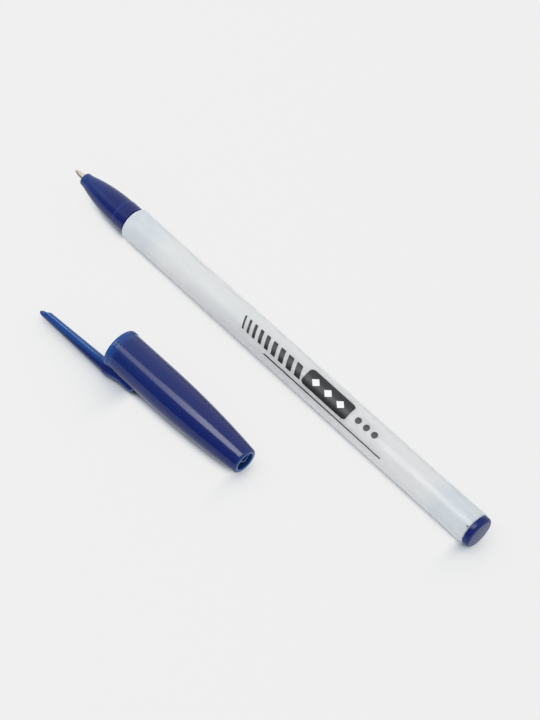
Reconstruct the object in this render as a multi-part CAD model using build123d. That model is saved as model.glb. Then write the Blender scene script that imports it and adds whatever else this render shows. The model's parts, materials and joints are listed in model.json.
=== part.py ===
from build123d import *

import math
import os

# A stick ballpoint pen lying on a table, with its cap off and lying beside it.
# Millimetres. +X runs from the writing tip to the rear plug, +Z is up, the cap lies on the -Y side.
# The origin is on the table, under the middle of the whole set.

# Barrel
barrel_length = 119.0
barrel_radius = 4.25
barrel_wall = 1.05
end_swell = 0.12
end_swell_length = 8.0
barrel_edge_round = 0.2
vent_radius = 0.24
vent_inset = 0.46
vent_turn = 31.5

# Nose cone
nose_length = 19.4
nose_front_radius = 1.62
nose_front_round = 0.35
nose_collar_radius = 3.92
nose_collar_length = 4.1
nose_step = 0.14
nose_bulge = 0.56
nose_spigot_length = 10.5
nose_spigot_chamfer = 0.6
tube_socket_depth = 6.5
ink_channel_radius = 0.45

# Writing tip
tip_reach = 3.7
tip_radius = 0.85
tip_shank_length = 7.5
tip_straight = 0.7
tip_bulge = 0.1
rim_radius = 0.45
ball_radius = 0.35
ball_showing = 0.2
seat_channel_radius = 0.18

# Ink tube
tube_radius = 1.5
tube_bore_radius = 1.0
tube_end_gap = 5.5
ink_headspace = 11.0

# End plug
plug_radius = 4.17
plug_thickness = 1.75
plug_edge_round = 0.6
plug_spigot_length = 11.5
plug_spigot_wall = 0.9
plug_floor = 1.2
plug_groove_width = 0.8
plug_groove_depth = 0.35

# Cap shell
cap_length = 43.8
cap_radius = 5.2
cap_straight = 14.0
cap_end_radius = 3.45
cap_end_round = 0.55
cap_vent_radius = 2.35
lip_radius = 5.4
lip_width = 1.1
lip_round = 0.3
stop_rib_width = 2.2
stop_rib_tip_width = 1.1
stop_rib_reach = 2.3
stop_rib_length = 6.0
stop_rib_inset = 0.45
stop_rib_turn = 130.0

# Clip and its bracket, with radii measured from the cap's axis
clip_reach = 23.35
clip_width = 3.4
clip_tip_width = 2.8
clip_outer_radius = 7.65
clip_inner_root = 4.5
clip_inner_tip = 5.62
clip_lead_in = 1.75
clip_step_run = 0.55
clip_tongue_inner = 6.3
clip_tip_inner = 6.58
clip_tip_run = 2.0
clip_tip_sagitta = 0.45
clip_corner_round = 0.9
knuckle_length = 0.6
fairing_length = 3.8
tail_radius = 6.35
tail_width = 2.4
tail_length = 9.1
bracket_sink = 0.35

# Where the cap lies, from the middle of the pen's axis to the middle of the cap's mouth
cap_mouth_x = -22.325
cap_beside = 27.6
cap_yaw = 1.27

# Clearances
spigot_clearance = 0.05
press_clearance = 0.02
ball_clearance = 0.02
cap_clearance = 0.03
flexure_gap = 0.03
resting_clearance = 0.01

# Sizes that follow from the ones above
bore_radius = barrel_radius - barrel_wall
barrel_end_radius = barrel_radius + end_swell
spigot_radius = bore_radius - spigot_clearance
pen_length = tip_reach + nose_length + barrel_length + plug_thickness
tip_end = -pen_length / 2
nose_front = tip_end + tip_reach
barrel_front = nose_front + nose_length
barrel_rear = barrel_front + barrel_length
ball_center = tip_end + ball_radius
tip_rim = tip_end + ball_showing
tip_shank_end = nose_front + tip_shank_length
spigot_end = barrel_front + nose_spigot_length
plug_spigot_front = barrel_rear - plug_spigot_length
tube_start = spigot_end - tube_socket_depth
tube_end = plug_spigot_front - tube_end_gap
cap_bore_radius = barrel_end_radius + cap_clearance
crown_radius = clip_width / 2
crown_center = clip_outer_radius - crown_radius


def turned(outline):
    """Solid of revolution about the X axis from a closed outline in the XY plane."""
    return revolve(make_face(outline), Axis.X)


def rod(start, end, radius):
    """Round bar along the X axis."""
    return extrude(Plane.YZ.offset(start) * Circle(radius), end - start)


def tangent_arc_radius(run, drop):
    """Radius of an arc that leaves a straight line without a kink and falls by drop over run."""
    return (run**2 + drop**2) / (2 * drop)


def make_barrel():
    """White tube, a little wider at both ends where the mouldings are pushed in, with an air vent."""
    swell_front = barrel_front + end_swell_length
    swell_rear = barrel_rear - end_swell_length
    outline = Polyline(
        (barrel_front, bore_radius),
        (barrel_front, barrel_end_radius - barrel_edge_round),
        (barrel_front + barrel_edge_round, barrel_end_radius),
        (swell_front, barrel_radius),
        (swell_rear, barrel_radius),
        (barrel_rear - barrel_edge_round, barrel_end_radius),
        (barrel_rear, barrel_end_radius - barrel_edge_round),
        (barrel_rear, bore_radius),
        close=True,
    )
    vent = Pos(barrel_rear - vent_inset, 0, 0) * extrude(Circle(vent_radius), 2 * barrel_radius)
    return turned(outline) - Rot(vent_turn, 0, 0) * vent


def make_nose_cone():
    """Blue nose with a fine step ahead of its collar, a spigot and a socket for the ink tube."""
    collar_front = barrel_front - nose_collar_length
    ogive_rear_radius = nose_collar_radius - nose_step
    front_edge = nose_front_radius - nose_front_round
    ogive_start = Vector(nose_front + nose_front_round, nose_front_radius)
    ogive_end = Vector(collar_front, ogive_rear_radius)
    chamfer_end = spigot_radius - nose_spigot_chamfer
    outline = [
        Line((nose_front, 0), (nose_front, front_edge)),
        Line((nose_front, front_edge), ogive_start),
        SagittaArc(ogive_start, ogive_end, nose_bulge),
        Polyline(
            ogive_end,
            (collar_front, nose_collar_radius),
            (barrel_front, nose_collar_radius),
            (barrel_front, spigot_radius),
            (spigot_end - nose_spigot_chamfer, spigot_radius),
            (spigot_end, chamfer_end),
            (spigot_end, 0),
            (nose_front, 0),
        ),
    ]
    tip_hole = rod(nose_front, tip_shank_end, tip_radius + press_clearance)
    channel = rod(tip_shank_end, tube_start, ink_channel_radius)
    socket = rod(tube_start, spigot_end, tube_radius + press_clearance)
    return turned(outline) - tip_hole - channel - socket


def make_tip_socket():
    """Metal point with a straight shank, a gently bellied taper and a seat closed round the ball."""
    taper_start = nose_front - tip_straight
    outline = [
        Line((tip_rim, 0), (tip_rim, rim_radius)),
        SagittaArc((tip_rim, rim_radius), (taper_start, tip_radius), tip_bulge),
        Polyline(
            (taper_start, tip_radius),
            (tip_shank_end, tip_radius),
            (tip_shank_end, 0),
            (tip_rim, 0),
        ),
    ]
    seat = Pos(ball_center, 0, 0) * Sphere(ball_radius + ball_clearance)
    channel = rod(ball_center, tip_shank_end, seat_channel_radius)
    return turned(outline) - seat - channel


def make_writing_ball():
    """Ball that rolls in the tip's seat."""
    return Pos(ball_center, 0, 0) * Sphere(ball_radius)


def make_ink_tube():
    """Thin tube from the bottom of the nose cone's socket to a little short of the plug."""
    return rod(tube_start, tube_end, tube_radius) - rod(tube_start, tube_end, tube_bore_radius)


def make_ink_column():
    """Ink in the tube's front part."""
    return rod(tube_start, tube_end - ink_headspace, tube_bore_radius - press_clearance)


def make_end_plug():
    """Rear plug: a round-edged disc on a hollow spigot, with an air groove in line with the vent."""
    rear = barrel_rear + plug_thickness
    hollow_radius = spigot_radius - plug_spigot_wall
    disc = rod(barrel_rear, rear, plug_radius)
    disc = fillet(disc.edges().group_by(Axis.X)[-1], plug_edge_round)
    spigot = rod(plug_spigot_front, barrel_rear, spigot_radius)
    hollow = rod(plug_spigot_front, barrel_rear - plug_floor, hollow_radius)
    groove_length = plug_spigot_length - (vent_inset - vent_radius)
    groove = Pos(plug_spigot_front + groove_length / 2, 0, spigot_radius) * Box(
        groove_length, plug_groove_width, 2 * plug_groove_depth
    )
    return disc + spigot - hollow - Rot(vent_turn, 0, 0) * groove


def side_prism(points, width):
    """Prism across the clip's plane. Points are (along the cap's axis, radius towards the clip)."""
    outline = Polyline(*[(along, -radius) for along, radius in points], close=True)
    return extrude(make_face(outline), width / 2, both=True)


def crowned_bar(start, end, width, outer_radius):
    """Bar along the cap's axis with a half-round outside, which lies in the clip's direction."""
    half = width / 2
    center = outer_radius - half
    section = Pos(-center / 2, 0) * Rectangle(center, width) + Pos(-center, 0) * Circle(half)
    return extrude(Plane.YZ.offset(start) * section, end - start)


def make_cap_shell():
    """Bullet-shaped shell with a lip at its mouth, an open vent at its small end and a stop rib inside."""
    outer_arc = tangent_arc_radius(cap_length - cap_straight, cap_radius - cap_end_radius)
    inner_arc = tangent_arc_radius(cap_length - cap_straight, cap_bore_radius - cap_vent_radius)
    outline = [
        Polyline(
            (0, cap_bore_radius),
            (0, lip_radius - lip_round),
            (lip_round, lip_radius),
            (lip_width - lip_round, lip_radius),
            (lip_width, cap_radius),
            (cap_straight, cap_radius),
        ),
        RadiusArc((cap_straight, cap_radius), (cap_length, cap_end_radius), outer_arc),
        Line((cap_length, cap_end_radius), (cap_length, cap_vent_radius)),
        RadiusArc((cap_length, cap_vent_radius), (cap_straight, cap_bore_radius), -inner_arc),
        Line((cap_straight, cap_bore_radius), (0, cap_bore_radius)),
    ]
    shell = turned(outline)
    end_edges = shell.edges().filter_by(GeomType.CIRCLE).group_by(Axis.X)[-1].sort_by(SortBy.RADIUS)
    return fillet(end_edges[-1], cap_end_round) + make_stop_rib()


def make_stop_rib():
    """Wedge inside the vent, from the shell's wall towards its axis."""
    wall_radius = cap_vent_radius + cap_end_round
    tip_radius_from_axis = cap_vent_radius - stop_rib_reach
    wedge = Polyline(
        (-wall_radius, -stop_rib_width / 2),
        (-tip_radius_from_axis, -stop_rib_tip_width / 2),
        (-tip_radius_from_axis, stop_rib_tip_width / 2),
        (-wall_radius, stop_rib_width / 2),
        close=True,
    )
    rib_end = cap_length - stop_rib_inset
    rib = extrude(Plane.YZ.offset(rib_end) * make_face(wedge), -stop_rib_length)
    return Rot(-stop_rib_turn, 0, 0) * rib


def make_bracket():
    """Root of the clip on the shell: a knuckle behind the mouth that falls away into a low tail."""
    foot = cap_radius - bracket_sink
    fairing_end = knuckle_length + fairing_length
    knuckle = side_prism(
        [
            (0, foot),
            (0, clip_outer_radius),
            (knuckle_length, clip_outer_radius),
            (fairing_end, tail_radius),
            (fairing_end, foot),
        ],
        clip_width,
    )
    knuckle = knuckle & crowned_bar(0, fairing_end, clip_width, clip_outer_radius)
    tail_end_center = tail_length - tail_width / 2
    tail = crowned_bar(0, tail_end_center, tail_width, tail_radius)
    tail_end = Pos(tail_end_center, 0, 0) * Rot(90, 0, 0) * Cylinder(tail_width / 2, 2 * tail_radius)
    tail_end = tail_end & crowned_bar(0, tail_length, tail_width, tail_radius)
    inside = rod(0, tail_length, foot)
    return knuckle + (tail + tail_end - inside)


def make_cap():
    """Cap shell with the clip's bracket, mouth at the origin and axis along X."""
    return make_cap_shell() + make_bracket()


def make_clip_arm():
    """Clip arm ahead of the mouth: flat inside, half-round outside, with a thin tongue at its tip."""
    root = -flexure_gap
    lead_start = clip_lead_in - clip_reach
    run_start = clip_tip_run - clip_reach
    side = [
        Polyline(
            (run_start, -clip_outer_radius),
            (root, -clip_outer_radius),
            (root, -clip_inner_root),
            (lead_start, -clip_inner_tip),
            (lead_start - clip_step_run, -clip_tongue_inner),
            (-clip_reach, -clip_tip_inner),
        ),
        SagittaArc((-clip_reach, -clip_tip_inner), (run_start, -clip_outer_radius), -clip_tip_sagitta),
    ]
    arm = extrude(make_face(side), clip_width / 2, both=True)
    plan = make_face(
        Polyline(
            (root, clip_width / 2),
            (-clip_reach, clip_tip_width / 2),
            (-clip_reach, -clip_tip_width / 2),
            (root, -clip_width / 2),
            close=True,
        )
    )
    plan = fillet(plan.vertices().group_by(Axis.X)[0], clip_corner_round)
    plan_prism = extrude(Plane.XZ * plan, 2 * clip_outer_radius, both=True)
    return arm & plan_prism & crowned_bar(-clip_reach, root, clip_width, clip_outer_radius)


def cap_pitch():
    """Tilt in radians of the cap's axis when its lip and its bullet shape both touch the table."""
    arc = tangent_arc_radius(cap_length - cap_straight, cap_radius - cap_end_radius)
    back = cap_straight - lip_round
    rise = lip_radius - cap_radius + arc
    return math.acos(arc / math.hypot(back, rise)) - math.atan2(back, rise)


def cap_axis_height(along):
    """Height of the cap's axis over the table at a distance from its mouth."""
    pitch = cap_pitch()
    return (lip_radius - (along - lip_round) * math.tan(pitch)) * math.cos(pitch) + resting_clearance


def cap_roll():
    """Turn in degrees of the clip below the horizontal, where its knuckle comes to lie on the table."""
    reach_down = cap_axis_height(knuckle_length) - crown_radius - resting_clearance
    return math.degrees(math.asin(reach_down / crown_center))


def cap_placement():
    """Place of the loose cap: its mouth's centre, turned, tilted and rolled as it lies."""
    mouth = Pos(cap_mouth_x, -cap_beside, cap_axis_height(0) - barrel_end_radius)
    tilt = Rot(0, math.degrees(cap_pitch()), 0)
    return mouth * Rot(0, 0, cap_yaw) * tilt * Rot(cap_roll(), 0, 0)


placement = cap_placement()
nodes = {
    "barrel": make_barrel(),
    "nose_cone": make_nose_cone(),
    "tip_socket": make_tip_socket(),
    "writing_ball": make_writing_ball(),
    "ink_tube": make_ink_tube(),
    "ink_column": make_ink_column(),
    "end_plug": make_end_plug(),
    "cap": placement * make_cap(),
    "cap_clip": placement * make_clip_arm(),
}

# The set is moved so that it stands on the table, centred on the origin.
box = Compound(children=[Compound(node.solids()) for node in nodes.values()]).bounding_box()
to_origin = Pos(-(box.min.X + box.max.X) / 2, -(box.min.Y + box.max.Y) / 2, -box.min.Z)

os.makedirs("parts", exist_ok=True)
for name, node in nodes.items():
    export_step(to_origin * node, f"parts/{name}.step")

# Places of the mounts and joints
for name, local in {
    "pen axis": Pos(0, 0, 0),
    "ball centre": Pos(ball_center, 0, 0),
    "barrel front": Pos(barrel_front, 0, 0),
    "plug face": Pos(barrel_rear + plug_thickness, 0, 0),
    "cap mouth": placement,
    "clip flexure": placement * Pos(0, -clip_outer_radius, 0),
}.items():
    spot = to_origin * local
    turned_x = (spot * Pos(1, 0, 0)).position - spot.position
    turned_z = (spot * Pos(0, 0, 1)).position - spot.position
    print(name, spot.position, "x axis", turned_x, "z axis", turned_z)
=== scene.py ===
"""Looks of a stick ballpoint pen that lies on a pale table with its cap off beside it.

Lengths are millimetres in the pieces' own frames, and metres in the row frame that every mesh is built in.
"""

import json
import logging
import math
from dataclasses import dataclass
from enum import Enum
from typing import Callable, Sequence

import bmesh
import bpy
from mathutils import Matrix, Vector
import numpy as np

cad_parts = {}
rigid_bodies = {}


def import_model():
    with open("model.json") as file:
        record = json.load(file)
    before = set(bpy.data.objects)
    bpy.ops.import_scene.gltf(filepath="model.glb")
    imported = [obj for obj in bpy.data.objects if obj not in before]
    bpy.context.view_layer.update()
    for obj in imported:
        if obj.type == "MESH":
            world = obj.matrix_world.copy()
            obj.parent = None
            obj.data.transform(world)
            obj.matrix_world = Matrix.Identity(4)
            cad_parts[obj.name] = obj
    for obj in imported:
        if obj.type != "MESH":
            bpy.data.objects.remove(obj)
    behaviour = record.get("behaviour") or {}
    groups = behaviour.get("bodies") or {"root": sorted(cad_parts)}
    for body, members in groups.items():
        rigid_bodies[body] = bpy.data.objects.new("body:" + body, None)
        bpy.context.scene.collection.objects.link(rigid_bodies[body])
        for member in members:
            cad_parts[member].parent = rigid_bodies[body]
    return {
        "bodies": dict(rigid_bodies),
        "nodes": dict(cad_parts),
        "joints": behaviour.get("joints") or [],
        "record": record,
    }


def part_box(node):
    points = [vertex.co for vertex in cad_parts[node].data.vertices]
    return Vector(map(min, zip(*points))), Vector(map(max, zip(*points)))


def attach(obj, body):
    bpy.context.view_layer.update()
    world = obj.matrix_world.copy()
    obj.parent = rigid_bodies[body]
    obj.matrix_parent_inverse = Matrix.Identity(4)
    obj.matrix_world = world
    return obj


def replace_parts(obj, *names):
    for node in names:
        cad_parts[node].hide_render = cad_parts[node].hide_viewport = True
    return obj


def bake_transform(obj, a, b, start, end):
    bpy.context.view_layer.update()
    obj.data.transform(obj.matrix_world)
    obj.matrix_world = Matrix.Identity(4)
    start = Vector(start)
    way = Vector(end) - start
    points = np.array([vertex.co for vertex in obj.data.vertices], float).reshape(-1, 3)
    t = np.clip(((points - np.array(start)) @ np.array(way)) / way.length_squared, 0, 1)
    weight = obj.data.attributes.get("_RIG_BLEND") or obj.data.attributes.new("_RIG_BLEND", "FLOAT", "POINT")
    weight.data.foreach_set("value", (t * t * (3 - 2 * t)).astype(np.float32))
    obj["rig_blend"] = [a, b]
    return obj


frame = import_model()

MM = 0.001
SHARP_ANGLE = math.radians(32.0)
# Point attribute that lightens tinted plastic where the wall is thin, and also where a highlight is painted.
THIN_AND_HIGHLIGHT_MASK = "thin"
# The wave texture at a scale of 1 has bands this far apart.
WAVE_UNIT = math.tau / 20.0
NOISE_MEAN = 0.5

log = logging.getLogger("pen")

Profile = list[tuple[float, float]]
Colour = tuple[float, float, float, float]


class Body(Enum):
    """Moving bodies that the pieces ride on."""

    BARREL = "barrel"
    WRITING_UNIT = "writing_unit"
    BALL = "ball"
    PLUG = "plug"
    CAP = "cap"
    CLIP = "clip"


class Slot(Enum):
    """Material slots of the record."""

    WHITE = "white_plastic"
    BLUE = "blue_plastic"
    TIP = "tip_metal"
    BALL = "ball_metal"
    TUBE = "tube_plastic"
    INK = "ink"


class Mark(Enum):
    """Plain shapes of the print on the barrel."""

    SLANTED_BAR = "slanted bar"
    ROUND_ENDED_BAR = "round-ended bar"
    LOZENGE = "lozenge"
    DISC = "disc"


def smooth_step(value: float) -> float:
    """Cubic ease between 0 and 1 of a value that is held to that range."""
    held = min(1.0, max(0.0, value))
    return held * held * (3.0 - 2.0 * held)


def spread(start: float, end: float, steps: int) -> list[float]:
    """Evenly spaced values from start to end, both included."""
    return [start + (end - start) * step / steps for step in range(steps + 1)]


def rounded(
    corners: Sequence[tuple[float, float, float]], arc_steps: int = 6, closed: bool = True
) -> Profile:
    """Rounds the corners of an outline.

    Args:
        corners: Points as (along, radius, rounding). A rounding of 0 keeps the point as it is.
        arc_steps: Straight steps in each rounded corner.
        closed: Whether the outline's last point joins its first.

    Returns:
        The outline's points with each rounded corner as an arc.
    """
    points: Profile = []
    count = len(corners)
    for index, (along, radius, rounding) in enumerate(corners):
        at_end = not closed and index in (0, count - 1)
        if rounding <= 0.0 or at_end:
            points.append((along, radius))
            continue
        here = Vector((along, radius))
        before = Vector(corners[index - 1][:2]) - here
        after = Vector(corners[(index + 1) % count][:2]) - here
        half_angle = before.angle(after) / 2.0
        reach = rounding / math.tan(half_angle)
        first = here + before.normalized() * reach
        last = here + after.normalized() * reach
        inwards = (before.normalized() + after.normalized()).normalized()
        center = here + inwards * rounding / math.sin(half_angle)
        for share in spread(0.0, 1.0, arc_steps):
            spoke = ((first - center).lerp(last - center, share)).normalized() * rounding
            points.append((center.x + spoke.x, center.y + spoke.y))
    return points


def bulged(
    start: tuple[float, float], end: tuple[float, float], sagitta: float, steps: int = 28
) -> Profile:
    """Circular arc between two points of an outline.

    Args:
        start: First point as (along, radius).
        end: Last point as (along, radius).
        sagitta: Height of the arc over its chord, away from the axis.
        steps: Straight steps along the arc.

    Returns:
        The arc's points, both ends included.
    """
    first, last = Vector(start), Vector(end)
    chord = last - first
    outward = Vector((-chord.y, chord.x)).normalized()
    arc_radius = (chord.length**2 / 4.0 + sagitta**2) / (2.0 * sagitta)
    half_turn = math.asin(chord.length / 2.0 / arc_radius)
    middle = (first + last) / 2.0 + outward * (sagitta - arc_radius)
    points: Profile = []
    for turn in spread(-half_turn, half_turn, steps):
        point = middle + (outward * math.cos(turn) + chord.normalized() * math.sin(turn)) * arc_radius
        points.append((point.x, point.y))
    return points


def shade_smooth(shape: bmesh.types.BMesh) -> None:
    """Smooths the shading of a mesh and keeps its crisp edges sharp.

    Args:
        shape: The mesh that is shaded.
    """
    for face in shape.faces:
        face.smooth = True
    for edge in shape.edges:
        edge.smooth = not edge.is_manifold or edge.calc_face_angle(0.0) < SHARP_ANGLE


def finish_mesh(name: str, shape: bmesh.types.BMesh) -> bpy.types.Object:
    """Turns a bmesh into a smooth-shaded object with crisp edges kept sharp.

    Args:
        name: Name of the piece.
        shape: The built faces, which are freed.

    Returns:
        The new object, linked to the scene.
    """
    bmesh.ops.recalc_face_normals(shape, faces=shape.faces)
    shade_smooth(shape)
    mesh = bpy.data.meshes.new(name)
    shape.to_mesh(mesh)
    shape.free()
    piece = bpy.data.objects.new(name, mesh)
    bpy.context.scene.collection.objects.link(piece)
    return piece


def turned(
    name: str, outline: Profile, place: Matrix, closed: bool = True, segments: int = 128
) -> bpy.types.Object:
    """Piece of revolution about its own X axis.

    Args:
        name: Name of the piece.
        outline: Points as (along, radius) in millimetres. A radius of 0 is a pole on the axis.
        place: Own frame of the piece, in the row frame.
        closed: Whether the outline closes on itself, as that of a hollow piece does.
        segments: Faces round the axis.

    Returns:
        The new piece.
    """
    shape = bmesh.new()
    rings: list[list[bmesh.types.BMVert]] = []
    for along, radius in outline:
        if radius <= 0.0:
            rings.append([shape.verts.new(place @ Vector((along * MM, 0.0, 0.0)))])
            continue
        ring = []
        for segment in range(segments):
            turn = math.tau * segment / segments
            spot = Vector((along, radius * math.sin(turn), radius * math.cos(turn))) * MM
            ring.append(shape.verts.new(place @ spot))
        rings.append(ring)
    pairs = list(zip(rings, rings[1:]))
    if closed:
        pairs.append((rings[-1], rings[0]))
    for first, second in pairs:
        for segment in range(segments):
            following = (segment + 1) % segments
            corners = [
                first[segment % len(first)],
                second[segment % len(second)],
                second[following % len(second)],
                first[following % len(first)],
            ]
            distinct = list(dict.fromkeys(corners))
            if len(distinct) > 2:
                shape.faces.new(distinct)
    return finish_mesh(name, shape)


def lofted(name: str, sections: Sequence[Sequence[Vector]], place: Matrix) -> bpy.types.Object:
    """Closed skin over cross-sections that have the same number of points.

    Args:
        name: Name of the piece.
        sections: Closed cross-sections in millimetres, from one end to the other.
        place: Own frame of the piece, in the row frame.

    Returns:
        The new piece.
    """
    shape = bmesh.new()
    loops = [[shape.verts.new(place @ (point * MM)) for point in section] for section in sections]
    for first, second in zip(loops, loops[1:]):
        for index in range(len(first)):
            following = (index + 1) % len(first)
            shape.faces.new((first[index], second[index], second[following], first[following]))
    for loop in (loops[0], loops[-1]):
        middle = sum((vert.co for vert in loop), Vector()) / len(loop)
        hub = shape.verts.new(middle)
        for index, vert in enumerate(loop):
            shape.faces.new((vert, loop[(index + 1) % len(loop)], hub))
    return finish_mesh(name, shape)


def cut_away(piece: bpy.types.Object, cutter: bpy.types.Object) -> None:
    """Cuts one closed mesh out of another and removes the cutter.

    Args:
        piece: The mesh that keeps its name and gets the cut.
        cutter: The mesh that is taken out of it.
    """
    cut = piece.modifiers.new("cut", "BOOLEAN")
    cut.operation = "DIFFERENCE"
    cut.solver = "EXACT"
    cut.object = cutter
    bpy.context.view_layer.update()
    evaluated = piece.evaluated_get(bpy.context.evaluated_depsgraph_get())
    shape = bmesh.new()
    shape.from_mesh(bpy.data.meshes.new_from_object(evaluated))
    piece.modifiers.clear()
    shade_smooth(shape)
    shape.to_mesh(piece.data)
    shape.free()
    bpy.data.objects.remove(cutter)


def mask_thin_and_highlight(piece: bpy.types.Object, place: Matrix, thinness: Callable[[Vector], float]) -> None:
    """Stores how light the tinted plastic is at each point, for its finish: lighter where it is thin, and
    where a highlight is painted.

    Args:
        piece: The piece to mark.
        place: Own frame of the piece, in the row frame.
        thinness: Gives a share from 0, deep, to 1, light, for a point in millimetres of that frame: light
            where the wall is thin, and where a highlight is painted.
    """
    to_own = place.inverted()
    mask = piece.data.attributes.new(THIN_AND_HIGHLIGHT_MASK, "FLOAT", "POINT")
    for index, vert in enumerate(piece.data.vertices):
        mask.data[index].value = thinness((to_own @ vert.co) / MM)


def dress(piece: bpy.types.Object, material: bpy.types.Material) -> bpy.types.Object:
    """Gives a piece its material.

    Args:
        piece: The piece to dress.
        material: Its only material.

    Returns:
        The same piece.
    """
    piece.data.materials.clear()
    piece.data.materials.append(material)
    return piece


class Graph:
    """Small helper that adds and joins shader nodes of one tree.

    Attributes:
        MIX_INPUTS: Places of the share, the first and the second colour among the inputs of a colour mix.
        MIX_RESULT: Place of the mixed colour among its outputs.
    """

    MIX_INPUTS = (0, 6, 7)
    MIX_RESULT = 2

    def __init__(self, tree: bpy.types.NodeTree) -> None:
        """Starts on an emptied tree."""
        self.tree = tree
        tree.nodes.clear()

    def add(self, kind: str, **settings: object) -> bpy.types.Node:
        """Adds a node.

        Args:
            kind: Blender's name of the node's type.
            settings: Properties of the node.

        Returns:
            The new node.
        """
        node = self.tree.nodes.new(kind)
        for key, value in settings.items():
            setattr(node, key, value)
        return node

    def join(self, source: bpy.types.NodeSocket, target: bpy.types.NodeSocket) -> None:
        """Links an output to an input."""
        self.tree.links.new(source, target)

    def axes(self) -> bpy.types.NodeOutputs:
        """Adds the place on the object.

        Returns:
            Sockets X, Y and Z.
        """
        split = self.add("ShaderNodeSeparateXYZ")
        self.join(self.add("ShaderNodeTexCoord").outputs["Object"], split.inputs[0])
        return split.outputs

    def math(self, operation: str, first: object, second: object = None) -> bpy.types.NodeSocket:
        """Adds a calculation.

        Args:
            operation: Blender's name of the operation.
            first: Socket or number.
            second: Socket or number, where the operation takes two.

        Returns:
            The result's socket.
        """
        node = self.add("ShaderNodeMath", operation=operation)
        for index, value in enumerate((first, second)):
            if isinstance(value, bpy.types.NodeSocket):
                self.join(value, node.inputs[index])
            elif value is not None:
                node.inputs[index].default_value = value
        return node.outputs[0]

    def ramp(
        self, value: bpy.types.NodeSocket, start: float, end: float, smooth: bool = True
    ) -> bpy.types.NodeSocket:
        """Ramp from 0 at start to 1 at end.

        Args:
            value: Socket that is mapped.
            start: Value that gives 0.
            end: Value that gives 1.
            smooth: Whether the ramp eases in and out.

        Returns:
            The ramp's socket.
        """
        node = self.add("ShaderNodeMapRange", interpolation_type="SMOOTHSTEP" if smooth else "LINEAR")
        self.join(value, node.inputs["Value"])
        node.inputs["From Min"].default_value = start
        node.inputs["From Max"].default_value = end
        return node.outputs["Result"]

    def mix(self, share: object, first: object, second: object) -> bpy.types.NodeSocket:
        """Mixes two colours.

        Args:
            share: Socket or number, 0 for the first colour and 1 for the second.
            first: Socket or RGBA colour.
            second: Socket or RGBA colour.

        Returns:
            The mixed colour's socket.
        """
        node = self.add("ShaderNodeMix", data_type="RGBA")
        for index, value in zip(self.MIX_INPUTS, (share, first, second)):
            if isinstance(value, bpy.types.NodeSocket):
                self.join(value, node.inputs[index])
            else:
                node.inputs[index].default_value = value
        return node.outputs[self.MIX_RESULT]


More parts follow.
